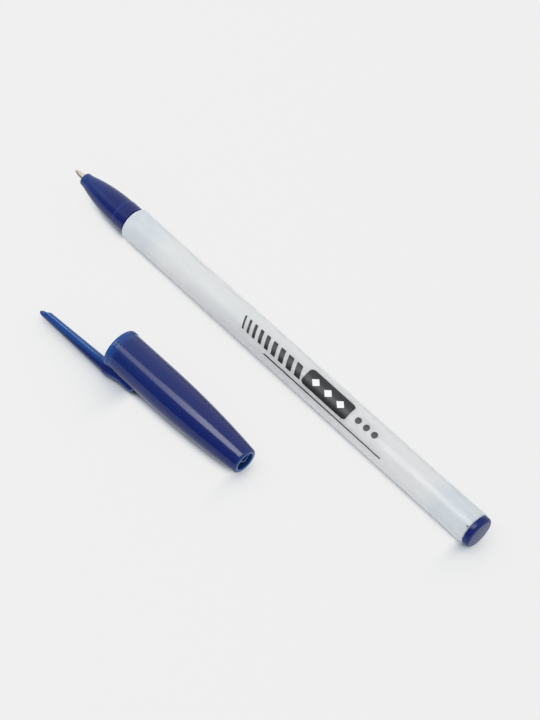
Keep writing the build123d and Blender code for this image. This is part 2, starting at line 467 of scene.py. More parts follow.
class SharedEffects:
    """Shader node groups that several finishes use.

    Attributes:
        FLOW_DETAIL: Octaves of the flow marks.
        GRAIN_DETAIL: Octaves of the fine grain.
        HAIR_DETAIL: Octaves of the hair scratches.
        HAIR_RANGE: Values of the scratches' noise from which a scratch shows, and at which it is full.
    """

    FLOW_DETAIL = 3.0
    GRAIN_DETAIL = 2.0
    HAIR_DETAIL = 4.0
    HAIR_RANGE = (0.62, 0.7)

    def __init__(self) -> None:
        """Builds each group once."""
        self.skin = self._moulded_skin()
        self.scuffs = self._handling_scuffs()
        self.thin_and_highlight_tint = self._thin_and_highlight_tint()

    @staticmethod
    def _new_group(name: str, inputs: dict[str, float], outputs: dict[str, str]) -> bpy.types.NodeTree:
        """Empty group with its sockets.

        Args:
            name: Name of the group.
            inputs: Names and first values of its number inputs.
            outputs: Names and socket types of its outputs.

        Returns:
            The new group.
        """
        group = bpy.data.node_groups.new(name, "ShaderNodeTree")
        for label, value in inputs.items():
            socket = group.interface.new_socket(label, in_out="INPUT", socket_type="NodeSocketFloat")
            socket.default_value = value
        for label, kind in outputs.items():
            group.interface.new_socket(label, in_out="OUTPUT", socket_type=kind)
        return group

    def _moulded_skin(self) -> bpy.types.NodeTree:
        """Faint flow marks and the fine grain of a moulded surface.

        Returns:
            The new group.
        """
        group = self._new_group(
            "moulded_skin",
            {"Roughness": 0.2, "Roughness Spread": 0.05, "Grain Scale": 9000.0, "Flow Scale": 160.0},
            {"Tone": "NodeSocketFloat", "Roughness": "NodeSocketFloat", "Height": "NodeSocketFloat"},
        )
        graph = Graph(group)
        given = graph.add("NodeGroupInput")
        result = graph.add("NodeGroupOutput")
        place = graph.add("ShaderNodeTexCoord").outputs["Object"]
        flow = graph.add("ShaderNodeTexNoise")
        graph.join(place, flow.inputs["Vector"])
        graph.join(given.outputs["Flow Scale"], flow.inputs["Scale"])
        flow.inputs["Detail"].default_value = self.FLOW_DETAIL
        grain = graph.add("ShaderNodeTexNoise")
        graph.join(place, grain.inputs["Vector"])
        graph.join(given.outputs["Grain Scale"], grain.inputs["Scale"])
        grain.inputs["Detail"].default_value = self.GRAIN_DETAIL
        graph.join(flow.outputs["Fac"], result.inputs["Tone"])
        swing = graph.math("SUBTRACT", flow.outputs["Fac"], NOISE_MEAN)
        change = graph.math("MULTIPLY", swing, given.outputs["Roughness Spread"])
        graph.join(graph.math("ADD", given.outputs["Roughness"], change), result.inputs["Roughness"])
        graph.join(grain.outputs["Fac"], result.inputs["Height"])
        return group

    def _handling_scuffs(self) -> bpy.types.NodeTree:
        """Short hair scratches from handling, drawn out along the pen.

        Returns:
            The new group.
        """
        group = self._new_group(
            "handling_scuffs",
            {"Scale": 900.0, "Stretch": 0.06, "Amount": 0.5},
            {"Mask": "NodeSocketFloat"},
        )
        graph = Graph(group)
        given = graph.add("NodeGroupInput")
        result = graph.add("NodeGroupOutput")
        axes = graph.axes()
        drawn = graph.add("ShaderNodeCombineXYZ")
        graph.join(graph.math("MULTIPLY", axes["X"], given.outputs["Stretch"]), drawn.inputs["X"])
        graph.join(axes["Y"], drawn.inputs["Y"])
        graph.join(axes["Z"], drawn.inputs["Z"])
        hairs = graph.add("ShaderNodeTexNoise")
        graph.join(drawn.outputs[0], hairs.inputs["Vector"])
        graph.join(given.outputs["Scale"], hairs.inputs["Scale"])
        hairs.inputs["Detail"].default_value = self.HAIR_DETAIL
        picked = graph.ramp(hairs.outputs["Fac"], *self.HAIR_RANGE)
        graph.join(graph.math("MULTIPLY", picked, given.outputs["Amount"]), result.inputs["Mask"])
        return group

    def _thin_and_highlight_tint(self) -> bpy.types.NodeTree:
        """Colour of tinted plastic, which is lighter and clearer where it is thin, and lighter where a
        highlight is painted.

        Returns:
            The new group.
        """
        group = self._new_group("thin_and_highlight_tint", {}, {"Color": "NodeSocketColor"})
        for label in ("Thick Color", "Thin Color"):
            group.interface.new_socket(label, in_out="INPUT", socket_type="NodeSocketColor")
        graph = Graph(group)
        given = graph.add("NodeGroupInput")
        result = graph.add("NodeGroupOutput")
        thin = graph.add("ShaderNodeAttribute", attribute_name=THIN_AND_HIGHLIGHT_MASK)
        mixed = graph.mix(thin.outputs["Fac"], given.outputs["Thick Color"], given.outputs["Thin Color"])
        graph.join(mixed, result.inputs["Color"])
        return group


def new_material(name: str) -> tuple[bpy.types.Material, Graph, bpy.types.Node]:
    """Empty material with one Principled shader.

    Args:
        name: Name of the material.

    Returns:
        The material, its graph and the shader.
    """
    material = bpy.data.materials.new(name)
    material.use_nodes = True
    graph = Graph(material.node_tree)
    shader = graph.add("ShaderNodeBsdfPrincipled")
    output = graph.add("ShaderNodeOutputMaterial")
    graph.join(shader.outputs[0], output.inputs["Surface"])
    return material, graph, shader


def grey(level: float) -> Colour:
    """Grey of a given brightness."""
    return (level, level, level, 1.0)


def scaled(colour: Colour, share: float) -> Colour:
    """Darker or lighter copy of a colour."""
    red, green, blue, alpha = colour
    return (red * share, green * share, blue * share, alpha)


def add_bump(
    graph: Graph, shader: bpy.types.Node, height: bpy.types.NodeSocket, depth: float, share: float
) -> None:
    """Lets a height raise the surface a little.

    Args:
        graph: Graph of the material.
        shader: Shader that gets the bump.
        height: Socket with heights from 0 to 1.
        depth: Height of a value of 1, in metres.
        share: Strength from 0 to 1.
    """
    bump = graph.add("ShaderNodeBump")
    bump.inputs["Strength"].default_value = share
    bump.inputs["Distance"].default_value = depth
    graph.join(height, bump.inputs["Height"])
    graph.join(bump.outputs["Normal"], shader.inputs["Normal"])


@dataclass(frozen=True, kw_only=True)
class Finish:
    """Values that every finish has.

    Attributes:
        name: Name of the material.
        roughness: Mean roughness.
        roughness_spread: How far the roughness swings over the surface.
        flow_scale: Fineness of the flow marks, per metre.
        grain_depth: Height of the fine grain, in metres.
        grain_share: Strength of the grain's bump, from 0 to 1.
    """

    name: str
    roughness: float
    roughness_spread: float = 0.08
    flow_scale: float = 160.0
    grain_depth: float = 0.5e-6
    grain_share: float = 0.2

    def start(
        self, effects: SharedEffects
    ) -> tuple[bpy.types.Material, Graph, bpy.types.Node, bpy.types.Node]:
        """Starts the material with its moulded skin.

        Args:
            effects: Shared shader groups.

        Returns:
            The material, its graph, its shader and the skin's node.
        """
        material, graph, shader = new_material(self.name)
        skin = graph.add("ShaderNodeGroup", node_tree=effects.skin)
        skin.inputs["Roughness"].default_value = self.roughness
        skin.inputs["Roughness Spread"].default_value = self.roughness_spread
        skin.inputs["Flow Scale"].default_value = self.flow_scale
        return material, graph, shader, skin


@dataclass(frozen=True, kw_only=True)
class Moulding(Finish):
    """Glossy moulded plastic with faint tones, hair scratches and a fine grain.

    Attributes:
        tone_share: How far the flow marks swing the brightness.
        scuff_roughness: Roughness that a hair scratch adds.
        specular: Strength of the surface's reflection.
        ior: Refractive index of the plastic.
    """

    tone_share: float
    scuff_roughness: float = 0.1
    specular: float = 0.33
    ior: float = 1.49

    def lay(
        self,
        effects: SharedEffects,
        graph: Graph,
        shader: bpy.types.Node,
        skin: bpy.types.Node,
        colour: bpy.types.NodeSocket,
    ) -> None:
        """Lays a colour on the shader with the moulding's tone, scratches and grain.

        Args:
            effects: Shared shader groups.
            graph: Graph of the material.
            shader: Its shader.
            skin: The skin's node.
            colour: Socket with the plastic's colour.
        """
        scuffs = graph.add("ShaderNodeGroup", node_tree=effects.scuffs)
        swing = graph.math("SUBTRACT", skin.outputs["Tone"], NOISE_MEAN)
        toned = graph.math("MULTIPLY", swing, self.tone_share)
        bright = graph.add("ShaderNodeHueSaturation")
        graph.join(colour, bright.inputs["Color"])
        graph.join(graph.math("ADD", toned, 1.0), bright.inputs["Value"])
        graph.join(bright.outputs["Color"], shader.inputs["Base Color"])
        worn = graph.math("MULTIPLY", scuffs.outputs["Mask"], self.scuff_roughness)
        graph.join(graph.math("ADD", skin.outputs["Roughness"], worn), shader.inputs["Roughness"])
        shader.inputs["IOR"].default_value = self.ior
        shader.inputs["Specular IOR Level"].default_value = self.specular
        add_bump(graph, shader, skin.outputs["Height"], self.grain_depth, self.grain_share)


@dataclass(frozen=True, kw_only=True)
class TintedPlastic(Moulding):
    """Deep blue moulding, clearer and lighter where it is thin, and lighter where a highlight is painted.

    Attributes:
        thick: Colour where the wall is thick.
        thin: Colour where the wall is thin, and of the painted highlights.
    """

    thick: Colour = (0.0068, 0.0168, 0.124, 1.0)
    thin: Colour = (0.022, 0.105, 0.355, 1.0)
    roughness: float = 0.13
    roughness_spread: float = 0.05
    tone_share: float = 0.12
    grain_depth: float = 0.4e-6

    def build(self, effects: SharedEffects) -> bpy.types.Material:
        """Makes the material.

        Args:
            effects: Shared shader groups.

        Returns:
            The new material.
        """
        material, graph, shader, skin = self.start(effects)
        tint = graph.add("ShaderNodeGroup", node_tree=effects.thin_and_highlight_tint)
        tint.inputs["Thick Color"].default_value = self.thick
        tint.inputs["Thin Color"].default_value = self.thin
        self.lay(effects, graph, shader, skin, tint.outputs["Color"])
        return material


@dataclass(frozen=True, kw_only=True)
class MilkyPlastic(Moulding):
    """White moulding that lets the blue spigots inside shine through at its ends.

    Attributes:
        front: Place of the barrel's front end on the row frame's X axis, in metres.
        rear: Place of its rear end.
        front_reach: Length that is tinted behind the front end, in metres.
        rear_reach: Length that is tinted ahead of the rear end.
        fade: Half of the length over which a tint dies away.
        rim_reach: Length of the bluer zone right at each end.
        depth: How far light spreads below the surface, in metres.
        depth_share: Share of the light that does so.
    """

    front: float
    rear: float
    front_reach: float
    rear_reach: float
    white: Colour = (0.745, 0.775, 0.795, 1.0)
    tinted: Colour = (0.63, 0.698, 0.757, 1.0)
    rim: Colour = (0.50, 0.60, 0.76, 1.0)
    roughness: float = 0.22
    roughness_spread: float = 0.05
    specular: float = 0.24
    tone_share: float = 0.03
    scuff_roughness: float = 0.12
    fade: float = 3.4 * MM
    rim_reach: float = 0.5 * MM
    depth: float = 4.0 * MM
    depth_share: float = 0.9

    def build(self, effects: SharedEffects) -> bpy.types.Material:
        """Makes the material.

        Args:
            effects: Shared shader groups.

        Returns:
            The new material.
        """
        material, graph, shader, skin = self.start(effects)
        along = graph.axes()["X"]
        front_end = self.front + self.front_reach
        rear_start = self.rear - self.rear_reach
        at_front = graph.ramp(along, front_end + self.fade, front_end - self.fade)
        at_rear = graph.ramp(along, rear_start - self.fade, rear_start + self.fade)
        shine = graph.mix(graph.math("ADD", at_front, at_rear), self.white, self.tinted)
        front_rim = graph.ramp(along, self.front + self.rim_reach, self.front)
        rear_rim = graph.ramp(along, self.rear - self.rim_reach, self.rear)
        shine = graph.mix(graph.math("ADD", front_rim, rear_rim), shine, self.rim)
        self.lay(effects, graph, shader, skin, shine)
        shader.inputs["Subsurface Weight"].default_value = self.depth_share
        shader.inputs["Subsurface Radius"].default_value = (1.0, 1.0, 1.0)
        shader.inputs["Subsurface Scale"].default_value = self.depth
        return material


@dataclass(frozen=True, kw_only=True)
class TurnedMetal(Finish):
    """Metal with the fine rings that a lathe leaves.

    Attributes:
        colour: Colour of its shine.
        dull: Share of that colour in its darker clouds.
        ring_pitch: Distance between tool marks along the pen, in metres.
        ring_wander: How far the tool marks stray.
    """

    colour: Colour
    dull: float = 0.82
    ring_pitch: float = 0.05 * MM
    ring_wander: float = 0.6
    roughness_spread: float = 0.12
    flow_scale: float = 2500.0
    grain_depth: float = 1.2e-6
    grain_share: float = 0.35

    def build(self, effects: SharedEffects) -> bpy.types.Material:
        """Makes the material.

        Args:
            effects: Shared shader groups.

        Returns:
            The new material.
        """
        material, graph, shader, skin = self.start(effects)
        rings = graph.add("ShaderNodeTexWave", wave_type="BANDS", bands_direction="X")
        graph.join(graph.add("ShaderNodeTexCoord").outputs["Object"], rings.inputs["Vector"])
        rings.inputs["Scale"].default_value = WAVE_UNIT / self.ring_pitch
        rings.inputs["Distortion"].default_value = self.ring_wander
        clouded = scaled(self.colour, self.dull)
        graph.join(graph.mix(skin.outputs["Tone"], clouded, self.colour), shader.inputs["Base Color"])
        graph.join(skin.outputs["Roughness"], shader.inputs["Roughness"])
        shader.inputs["Metallic"].default_value = 1.0
        add_bump(graph, shader, rings.outputs["Fac"], self.grain_depth, self.grain_share)
        return material


@dataclass(frozen=True, kw_only=True)
class PrintInk(Finish):
    """Thin film of screen-printed ink.

    Attributes:
        colour: Colour of a full film.
        worn_colour: Colour where the film is thin.
        worn_range: Tones from which the film is worn, and at which it is fully worn.
    """

    colour: Colour
    worn_colour: Colour
    worn_range: tuple[float, float] = (0.56, 0.8)
    roughness: float = 0.38
    roughness_spread: float = 0.14
    flow_scale: float = 1500.0
    grain_depth: float = 1.0e-6
    grain_share: float = 0.25

    def build(self, effects: SharedEffects) -> bpy.types.Material:
        """Makes the material.

        Args:
            effects: Shared shader groups.

        Returns:
            The new material.
        """
        material, graph, shader, skin = self.start(effects)
        worn = graph.ramp(skin.outputs["Tone"], *self.worn_range)
        graph.join(graph.mix(worn, self.colour, self.worn_colour), shader.inputs["Base Color"])
        graph.join(skin.outputs["Roughness"], shader.inputs["Roughness"])
        add_bump(graph, shader, skin.outputs["Height"], self.grain_depth, self.grain_share)
        return material


@dataclass(frozen=True, kw_only=True)
class ClearTube(Finish):
    """Milky clear plastic of the ink tube.

    Attributes:
        colour: Tint of the plastic.
        dull: Share of that tint in its darker clouds.
        clearness: Share of the light that goes through.
    """

    name: str = "ink_tube_plastic"
    colour: Colour = (0.89, 0.93, 0.96, 1.0)
    dull: float = 0.95
    roughness: float = 0.1
    roughness_spread: float = 0.04
    clearness: float = 0.95

    def build(self, effects: SharedEffects) -> bpy.types.Material:
        """Makes the material.

        Args:
            effects: Shared shader groups.

        Returns:
            The new material.
        """
        material, graph, shader, skin = self.start(effects)
        clouded = scaled(self.colour, self.dull)
        graph.join(graph.mix(skin.outputs["Tone"], clouded, self.colour), shader.inputs["Base Color"])
        graph.join(skin.outputs["Roughness"], shader.inputs["Roughness"])
        shader.inputs["Transmission Weight"].default_value = self.clearness
        return material


@dataclass(frozen=True, kw_only=True)
class WetInk(Finish):
    """Thick blue writing ink.

    Attributes:
        deep: Colour of still ink.
        streaked: Colour of its lighter streaks.
    """

    name: str = "blue_ink"
    deep: Colour = (0.006, 0.013, 0.14, 1.0)
    streaked: Colour = (0.01, 0.024, 0.23, 1.0)
    roughness: float = 0.08
    flow_scale: float = 700.0

    def build(self, effects: SharedEffects) -> bpy.types.Material:
        """Makes the material.

        Args:
            effects: Shared shader groups.

        Returns:
            The new material.
        """
        material, graph, shader, skin = self.start(effects)
        graph.join(graph.mix(skin.outputs["Tone"], self.deep, self.streaked), shader.inputs["Base Color"])
        graph.join(skin.outputs["Roughness"], shader.inputs["Roughness"])
        return material


class PenPlaces:
    """Own frames and end points of the pen and the cap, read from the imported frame."""

    def __init__(self, packed: dict) -> None:
        """Reads mounts, joints and node boxes.
        """
        self.nodes = packed["nodes"]
        mounts = {mount["name"]: mount for mount in packed["record"]["mounts"]}
        joints = {joint["name"]: joint for joint in packed["joints"]}
        face = Vector(mounts["plug_face"]["pos_m"])
        self.pen = Matrix.Translation((0.0, face.y, face.z))
        self.barrel_front, self.barrel_rear, self.barrel_end_radius = self._span("barrel")
        self.nose_front, self.spigot_end, _ = self._span("nose_cone")
        self.tip_rim, self.shank_end, self.tip_radius = self._span("tip_socket")
        self.tube_start, self.tube_end, self.tube_radius = self._span("ink_tube")
        self.ink_end = self._span("ink_column")[1]
        self.plug_front, self.plug_rear, self.plug_radius = self._span("end_plug")
        ball_front, ball_rear, self.ball_radius = self._span("writing_ball")
        self.ball_center = (ball_front + ball_rear) / 2.0
        self.barrel_radius = mounts["barrel_outside"]["dims"]["r_mm"]
        bore = mounts["cap_mouth"]
        along = -Vector(bore["axis"]).normalized()
        across = Vector(joints["clip_flex"]["axis"]).normalized()
        side = across.cross(along)
        self.cap_straight = bore["dims"]["length_mm"]
        self.cap_bore_radius = bore["dims"]["r_mm"]
        mouth = Vector(bore["pos_m"]) - along * self.cap_straight / 2.0 * MM
        turn = Matrix((along, side, across)).transposed().to_4x4()
        self.cap = Matrix.Translation(mouth) @ turn
        self.cap_length = self._own_points("cap", self.cap)[1].x
        self.clip_reach = -self._own_points("cap_clip", self.cap)[0].x
        self.clip_outer_radius = -self._own_points("cap_clip", self.cap)[0].y

    @staticmethod
    def _span(node: str) -> tuple[float, float, float]:
        """Front end, rear end and radius of a round node on the pen's axis, in millimetres."""
        low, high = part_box(node)
        return low.x / MM, high.x / MM, (high.y - low.y) / 2.0 / MM

    def _own_points(self, node: str, place: Matrix) -> tuple[Vector, Vector]:
        """Lowest and highest corner of a node in a frame of its own, in millimetres.

        Args:
            node: Name of the CAD node.
            place: Frame to measure in.

        Returns:
            The two corners.
        """
        to_own = place.inverted()
        points = [(to_own @ vert.co) / MM for vert in self.nodes[node].data.vertices]
        low = Vector(min(point[axis] for point in points) for axis in range(3))
        high = Vector(max(point[axis] for point in points) for axis in range(3))
        return low, high


@dataclass
class Barrel:
    """White tube with swollen ends and an air vent.

    Attributes:
        swell_from: Share of the swell's length at which its first ring stands.
        vent_inset: Distance of the vent's middle from the rear end.
        vent_turn: Place of the vent round the barrel, in degrees from straight up towards the cap.
        vent_clear: Distance from the rear end at which the vent's finer rings take over, in vent insets.
    """

    places: PenPlaces
    wall: float = 1.05
    swell_length: float = 8.0
    swell_from: float = 0.1
    rim_round: float = 0.2
    bore_round: float = 0.1
    vent_radius: float = 0.24
    vent_inset: float = 0.46
    vent_turn: float = 31.5
    vent_clear: float = 2.5
    swell_steps: int = 10
    vent_rings: int = 12
    vent_segments: int = 24
    segments: int = 160

    def build(self) -> bpy.types.Object:
        """Builds the tube and cuts its vent.

        Returns:
            The barrel's tube.
        """
        at = self.places
        bore = at.barrel_radius - self.wall
        vent_place = at.barrel_rear - self.vent_inset
        swell = at.barrel_end_radius - at.barrel_radius
        front_swell = [
            (at.barrel_front + self.swell_length * share, at.barrel_end_radius - swell * share, 0.0)
            for share in spread(self.swell_from, 1.0, self.swell_steps)
        ]
        vent_share = self.vent_clear * self.vent_inset / self.swell_length
        rear_swell = [
            (at.barrel_rear - self.swell_length * share, at.barrel_end_radius - swell * share, 0.0)
            for share in spread(1.0, vent_share, self.swell_steps)
        ]
        vent_run = spread(vent_place - self.vent_inset, vent_place + self.vent_inset / 2.0, self.vent_rings)
        near_vent = [
            (along, at.barrel_end_radius - swell * (at.barrel_rear - along) / self.swell_length, 0.0)
            for along in vent_run
        ]
        corners = [
            (at.barrel_front, bore, self.bore_round),
            (at.barrel_front, at.barrel_end_radius, self.rim_round),
            *front_swell,
            *rear_swell,
            *near_vent,
            (at.barrel_rear, at.barrel_end_radius, self.rim_round),
            (at.barrel_rear, bore, self.bore_round),
        ]
        tube = turned("barrel_tube", rounded(corners), at.pen, segments=self.segments)
        self._cut_vent(tube, vent_place)
        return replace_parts(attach(tube, Body.BARREL.value), "barrel")

    def _cut_vent(self, tube: bpy.types.Object, vent_place: float) -> None:
        """Cuts the round air vent near the rear end.

        Args:
            tube: The barrel's tube.
            vent_place: The vent's middle along the pen, in millimetres.
        """
        turn = Matrix.Rotation(math.radians(self.vent_turn), 4, "X")
        outwards = turn @ Matrix.Rotation(-math.pi / 2.0, 4, "Y")
        spot = self.places.pen @ Matrix.Translation((vent_place * MM, 0.0, 0.0)) @ outwards
        bottom = self.places.barrel_radius - 2.0 * self.wall
        top = self.places.barrel_end_radius + self.wall
        bar = [(bottom, 0.0), (bottom, self.vent_radius), (top, self.vent_radius), (top, 0.0)]
        cut_away(tube, turned("vent_cutter", bar, spot, closed=False, segments=self.vent_segments))


@dataclass
class BarrelPrint:
    """Plain geometric print along the barrel, as a film on its surface.

    Attributes:
        sunk: How deep a film reaches into the barrel.
        bar_growth: How much wider each bar is than the one before it.
        bar_slant: How far the bottom of a bar lies behind its top.
        bar_turns: Top and bottom of the bars, in degrees from straight up towards the cap, as all turns are.
        panel_margin: Room before the first lozenge and after the last, as a share of their pitch.
        point_taper: How far lozenges and discs narrow to top and bottom, where 1 is a point.
    """

    places: PenPlaces
    film: float = 0.012
    light_film: float = 0.0192
    sunk: float = 0.02
    start: float = -7.0
    bars: int = 9
    first_bar: float = 0.55
    bar_growth: float = 0.17
    bar_gap: float = 1.15
    bar_slant: float = 1.5
    bar_turns: tuple[float, float] = (2.0, 44.0)
    panel_gap: float = 1.9
    panel_length: float = 15.0
    panel_turns: tuple[float, float] = (-18.0, 46.0)
    panel_corner: float = 0.9
    panel_margin: float = 0.3
    lozenges: int = 3
    lozenge_length: float = 2.6
    lozenge_turns: tuple[float, float] = (-1.0, 29.0)
    dots: int = 3
    dot_length: float = 1.7
    dot_pitch: float = 2.7
    line_turns: tuple[float, float] = (58.0, 62.5)
    line_start: float = 3.0
    line_length: float = 40.0
    point_taper: float = 0.985
    steps: int = 14

    def build(self) -> tuple[bpy.types.Object, bpy.types.Object]:
        """Builds the print in two films.

        Returns:
            The dark film and the light film that lies on its panel.
        """
        dark = bmesh.new()
        along = self.start
        for bar in range(self.bars):
            width = self.first_bar + self.bar_growth * bar
            self._add(dark, Mark.SLANTED_BAR, along, width, self.bar_turns, self.film)
            along += width + self.bar_gap
        panel_start = along + self.panel_gap - self.bar_gap
        self._add(dark, Mark.ROUND_ENDED_BAR, panel_start, self.panel_length, self.panel_turns, self.film)
        dot_start = panel_start + self.panel_length + self.panel_gap
        dot_half = math.degrees(self.dot_length / 2.0 / self.places.barrel_radius)
        dot_middle = sum(self.panel_turns) / 2.0
        for dot in range(self.dots):
            turns = (dot_middle - dot_half, dot_middle + dot_half)
            self._add(dark, Mark.DISC, dot_start + self.dot_pitch * dot, self.dot_length, turns, self.film)
        self._add(dark, Mark.ROUND_ENDED_BAR, self.line_start, self.line_length, self.line_turns, self.film)
        light = bmesh.new()
        pitch = self.panel_length / (self.lozenges + 2.0 * self.panel_margin)
        for lozenge in range(self.lozenges):
            place = panel_start + pitch * (lozenge + 0.5 + self.panel_margin) - self.lozenge_length / 2.0
            self._add(light, Mark.LOZENGE, place, self.lozenge_length, self.lozenge_turns, self.light_film)
        films = finish_mesh("print_dark", dark), finish_mesh("print_light", light)
        for film in films:
            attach(film, Body.BARREL.value)
        return films

    def _ends(self, mark: Mark, share: float, length: float, height: float) -> tuple[float, float]:
        """Where a mark starts and ends along the barrel at one line of its height.

        Args:
            mark: Shape of the mark.
            share: Place of the line, from 0 at the mark's top to 1 at its bottom.
            length: Length of the mark, in millimetres.
            height: Its height round the barrel, in millimetres.

        Returns:
            Distances of both ends from the mark's start.
        """
        off_middle = abs(2.0 * share - 1.0)
        if mark is Mark.SLANTED_BAR:
            shift = self.bar_slant * share
            return shift, shift + length
        if mark is Mark.LOZENGE:
            inset = length / 2.0 * off_middle * self.point_taper
            return inset, length - inset
        if mark is Mark.DISC:
            inset = length / 2.0 * (1.0 - math.sqrt(1.0 - self.point_taper * off_middle**2))
            return inset, length - inset
        corner = min(self.panel_corner, height / 2.0)
        into = max(0.0, corner - (1.0 - off_middle) * height / 2.0)
        inset = corner - math.sqrt(max(0.0, corner**2 - into**2)) if into > 0.0 else 0.0
        return inset, length - inset

    def _add(
        self,
        shape: bmesh.types.BMesh,
        mark: Mark,
        start: float,
        length: float,
        turns: tuple[float, float],
        film: float,
    ) -> None:
        """Adds one closed mark that follows the barrel.

        Args:
            shape: Mesh that the mark is added to.
            mark: Shape of the mark.
            start: Its start along the pen, in millimetres.
            length: Its length, in millimetres.
            turns: Its top and bottom, in degrees from straight up towards the cap.
            film: Height of the film over the barrel, in millimetres.
        """
        outside = self.places.barrel_radius + film
        inside = self.places.barrel_radius - self.sunk
        height = math.radians(turns[1] - turns[0]) * self.places.barrel_radius
        rows = []
        for share in spread(0.0, 1.0, self.steps):
            turn = math.radians(turns[0] + (turns[1] - turns[0]) * share)
            first, last = self._ends(mark, share, length, height)
            row = []
            for along, radius in ((first, outside), (last, outside), (last, inside), (first, inside)):
                spot = Vector((start + along, -radius * math.sin(turn), radius * math.cos(turn))) * MM
                row.append(shape.verts.new(self.places.pen @ spot))
            rows.append(row)
        for upper, lower in zip(rows, rows[1:]):
            for side in range(len(upper)):
                following = (side + 1) % len(upper)
                shape.faces.new((upper[side], upper[following], lower[following], lower[side]))
        shape.faces.new(rows[0])
        shape.faces.new(rows[-1])


@dataclass
class WritingUnit:
    """Nose cone, metal point, ink tube and ink, which pull out of the barrel together.

    Attributes:
        step: How far the end of the cone stands in from the collar.
        bulge: Height of the cone's curve over a straight line.
        press: How much wider a hole is than the piece that it holds.
        wetting: How far the ink reaches into the tube's wall, so that no film of air lies between them.
        meniscus: Depth of the hollow at the ink's end.
        meniscus_turn: Place of the hollow's last ring, in degrees from the axis.
        front_glow: Length of the lighter zone round the front hole.
        front_light: How light that zone is, from 0 to 1, as all lights are.
        ring_painted_highlight: How light the painted highlight on the front edge of the collar is.
        cone_glow: Length over which the cone gets deeper from its front.
    """

    places: PenPlaces
    front_radius: float = 1.62
    front_round: float = 0.35
    hole_round: float = 0.05
    collar_radius: float = 3.92
    collar_length: float = 4.1
    collar_round: float = 0.1
    step: float = 0.14
    seam_width: float = 0.58
    seam_depth: float = 0.5
    bulge: float = 0.56
    spigot_radius: float = 3.15
    spigot_chamfer: float = 0.6
    spigot_round: float = 0.2
    socket_round: float = 0.1
    press: float = 0.02
    channel_radius: float = 0.45
    tip_straight: float = 0.7
    tip_bulge: float = 0.115
    rim_radius: float = 0.39
    rim_round: float = 0.05
    seat_clearance: float = 0.02
    seat_channel_radius: float = 0.18
    tube_wall: float = 0.5
    wetting: float = 0.02
    tube_round: float = 0.08
    meniscus: float = 0.7
    meniscus_turn: float = 7.5
    front_glow: float = 1.1
    front_light: float = 0.5
    ring_painted_highlight: float = 0.3
    cone_light: float = 0.2
    cone_glow: float = 14.0
    seat_steps: int = 10
    meniscus_steps: int = 10
    nose_segments: int = 144
    tip_segments: int = 72
    tube_segments: int = 64
    ink_segments: int = 48

    def build_nose(self) -> bpy.types.Object:
        """Builds the nose cone with its collar, spigot and tube socket.

        Returns:
            The nose cone.
        """
        at = self.places
        hole = at.tip_radius + self.press
        socket = at.tube_radius + self.press
        collar_front = at.barrel_front - self.collar_length
        seam_front = at.barrel_front - self.seam_width
        ogive_start = (at.nose_front + self.front_round, self.front_radius)
        ogive = bulged(ogive_start, (collar_front, self.collar_radius - self.step), self.bulge)
        corners = [
            (at.nose_front, hole, self.hole_round),
            (at.nose_front, ogive[1][1], self.front_round),
            *[(along, radius, 0.0) for along, radius in ogive[2:]],
            (collar_front, self.collar_radius, self.collar_round),
            (collar_front + 2.0 * self.collar_round, self.collar_radius, 0.0),
            (seam_front - 2.0 * self.collar_round, self.collar_radius, 0.0),
            (seam_front, self.collar_radius, self.collar_round),
            (seam_front, self.collar_radius - self.seam_depth, 0.0),
            (at.barrel_front, self.collar_radius - self.seam_depth, 0.0),
            (at.barrel_front, self.spigot_radius, 0.0),
            (at.spigot_end - self.spigot_chamfer, self.spigot_radius, self.spigot_round),
            (at.spigot_end, self.spigot_radius - self.spigot_chamfer, self.spigot_round),
            (at.spigot_end, socket, self.socket_round),
            (at.tube_start, socket, 0.0),
            (at.tube_start, self.channel_radius, 0.0),
            (at.shank_end, self.channel_radius, 0.0),
            (at.shank_end, hole, 0.0),
        ]
        nose = turned("nose_shell", rounded(corners), at.pen, segments=self.nose_segments)
        mask_thin_and_highlight(nose, at.pen, self._nose_thinness_and_highlight)
        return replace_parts(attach(nose, Body.WRITING_UNIT.value), "nose_cone")

    def _nose_thinness_and_highlight(self, spot: Vector) -> float:
        """How light the nose looks at a point: round its hole and on the cone where it is thin, with a
        painted highlight on the collar's edge.

        Args:
            spot: Point in the pen's own frame, in millimetres.

        Returns:
            Share from 0, deep, to 1, light.
        """
        front = self.places.nose_front
        at_front = smooth_step((front + self.front_glow - spot.x) / self.front_glow)
        # The collar's front edge gets a painted highlight line.
        off_ring = abs(spot.x - self.places.barrel_front + self.collar_length)
        on_ring_highlight = smooth_step(2.0 - off_ring / self.collar_round)
        on_cone = smooth_step((front + self.cone_glow - spot.x) / self.cone_glow)
        return max(self.front_light * at_front, self.ring_painted_highlight * on_ring_highlight, self.cone_light * on_cone)

    def build_tip(self) -> bpy.types.Object:
        """Builds the metal point with its seat round the ball.

        Returns:
            The metal point.
        """
        at = self.places
        taper_start = at.nose_front - self.tip_straight
        seat = at.ball_radius + self.seat_clearance
        rim_turn = math.acos((at.tip_rim - at.ball_center) / seat)
        channel_turn = math.asin(self.seat_channel_radius / seat)
        seat_arc = [
            (at.ball_center + seat * math.cos(turn), seat * math.sin(turn))
            for turn in spread(channel_turn, rim_turn, self.seat_steps)
        ]
        taper = bulged((at.tip_rim, self.rim_radius), (taper_start, at.tip_radius), self.tip_bulge)
        corners = [
            *[(along, radius, 0.0) for along, radius in seat_arc],
            (at.tip_rim, self.rim_radius, self.rim_round),
            *[(along, radius, 0.0) for along, radius in taper if along > at.tip_rim + 2.0 * self.rim_round],
            (at.shank_end, at.tip_radius, 0.0),
            (at.shank_end, self.seat_channel_radius, 0.0),
        ]
        point = turned("metal_point", rounded(corners), at.pen, segments=self.tip_segments)
        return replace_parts(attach(point, Body.WRITING_UNIT.value), "tip_socket")

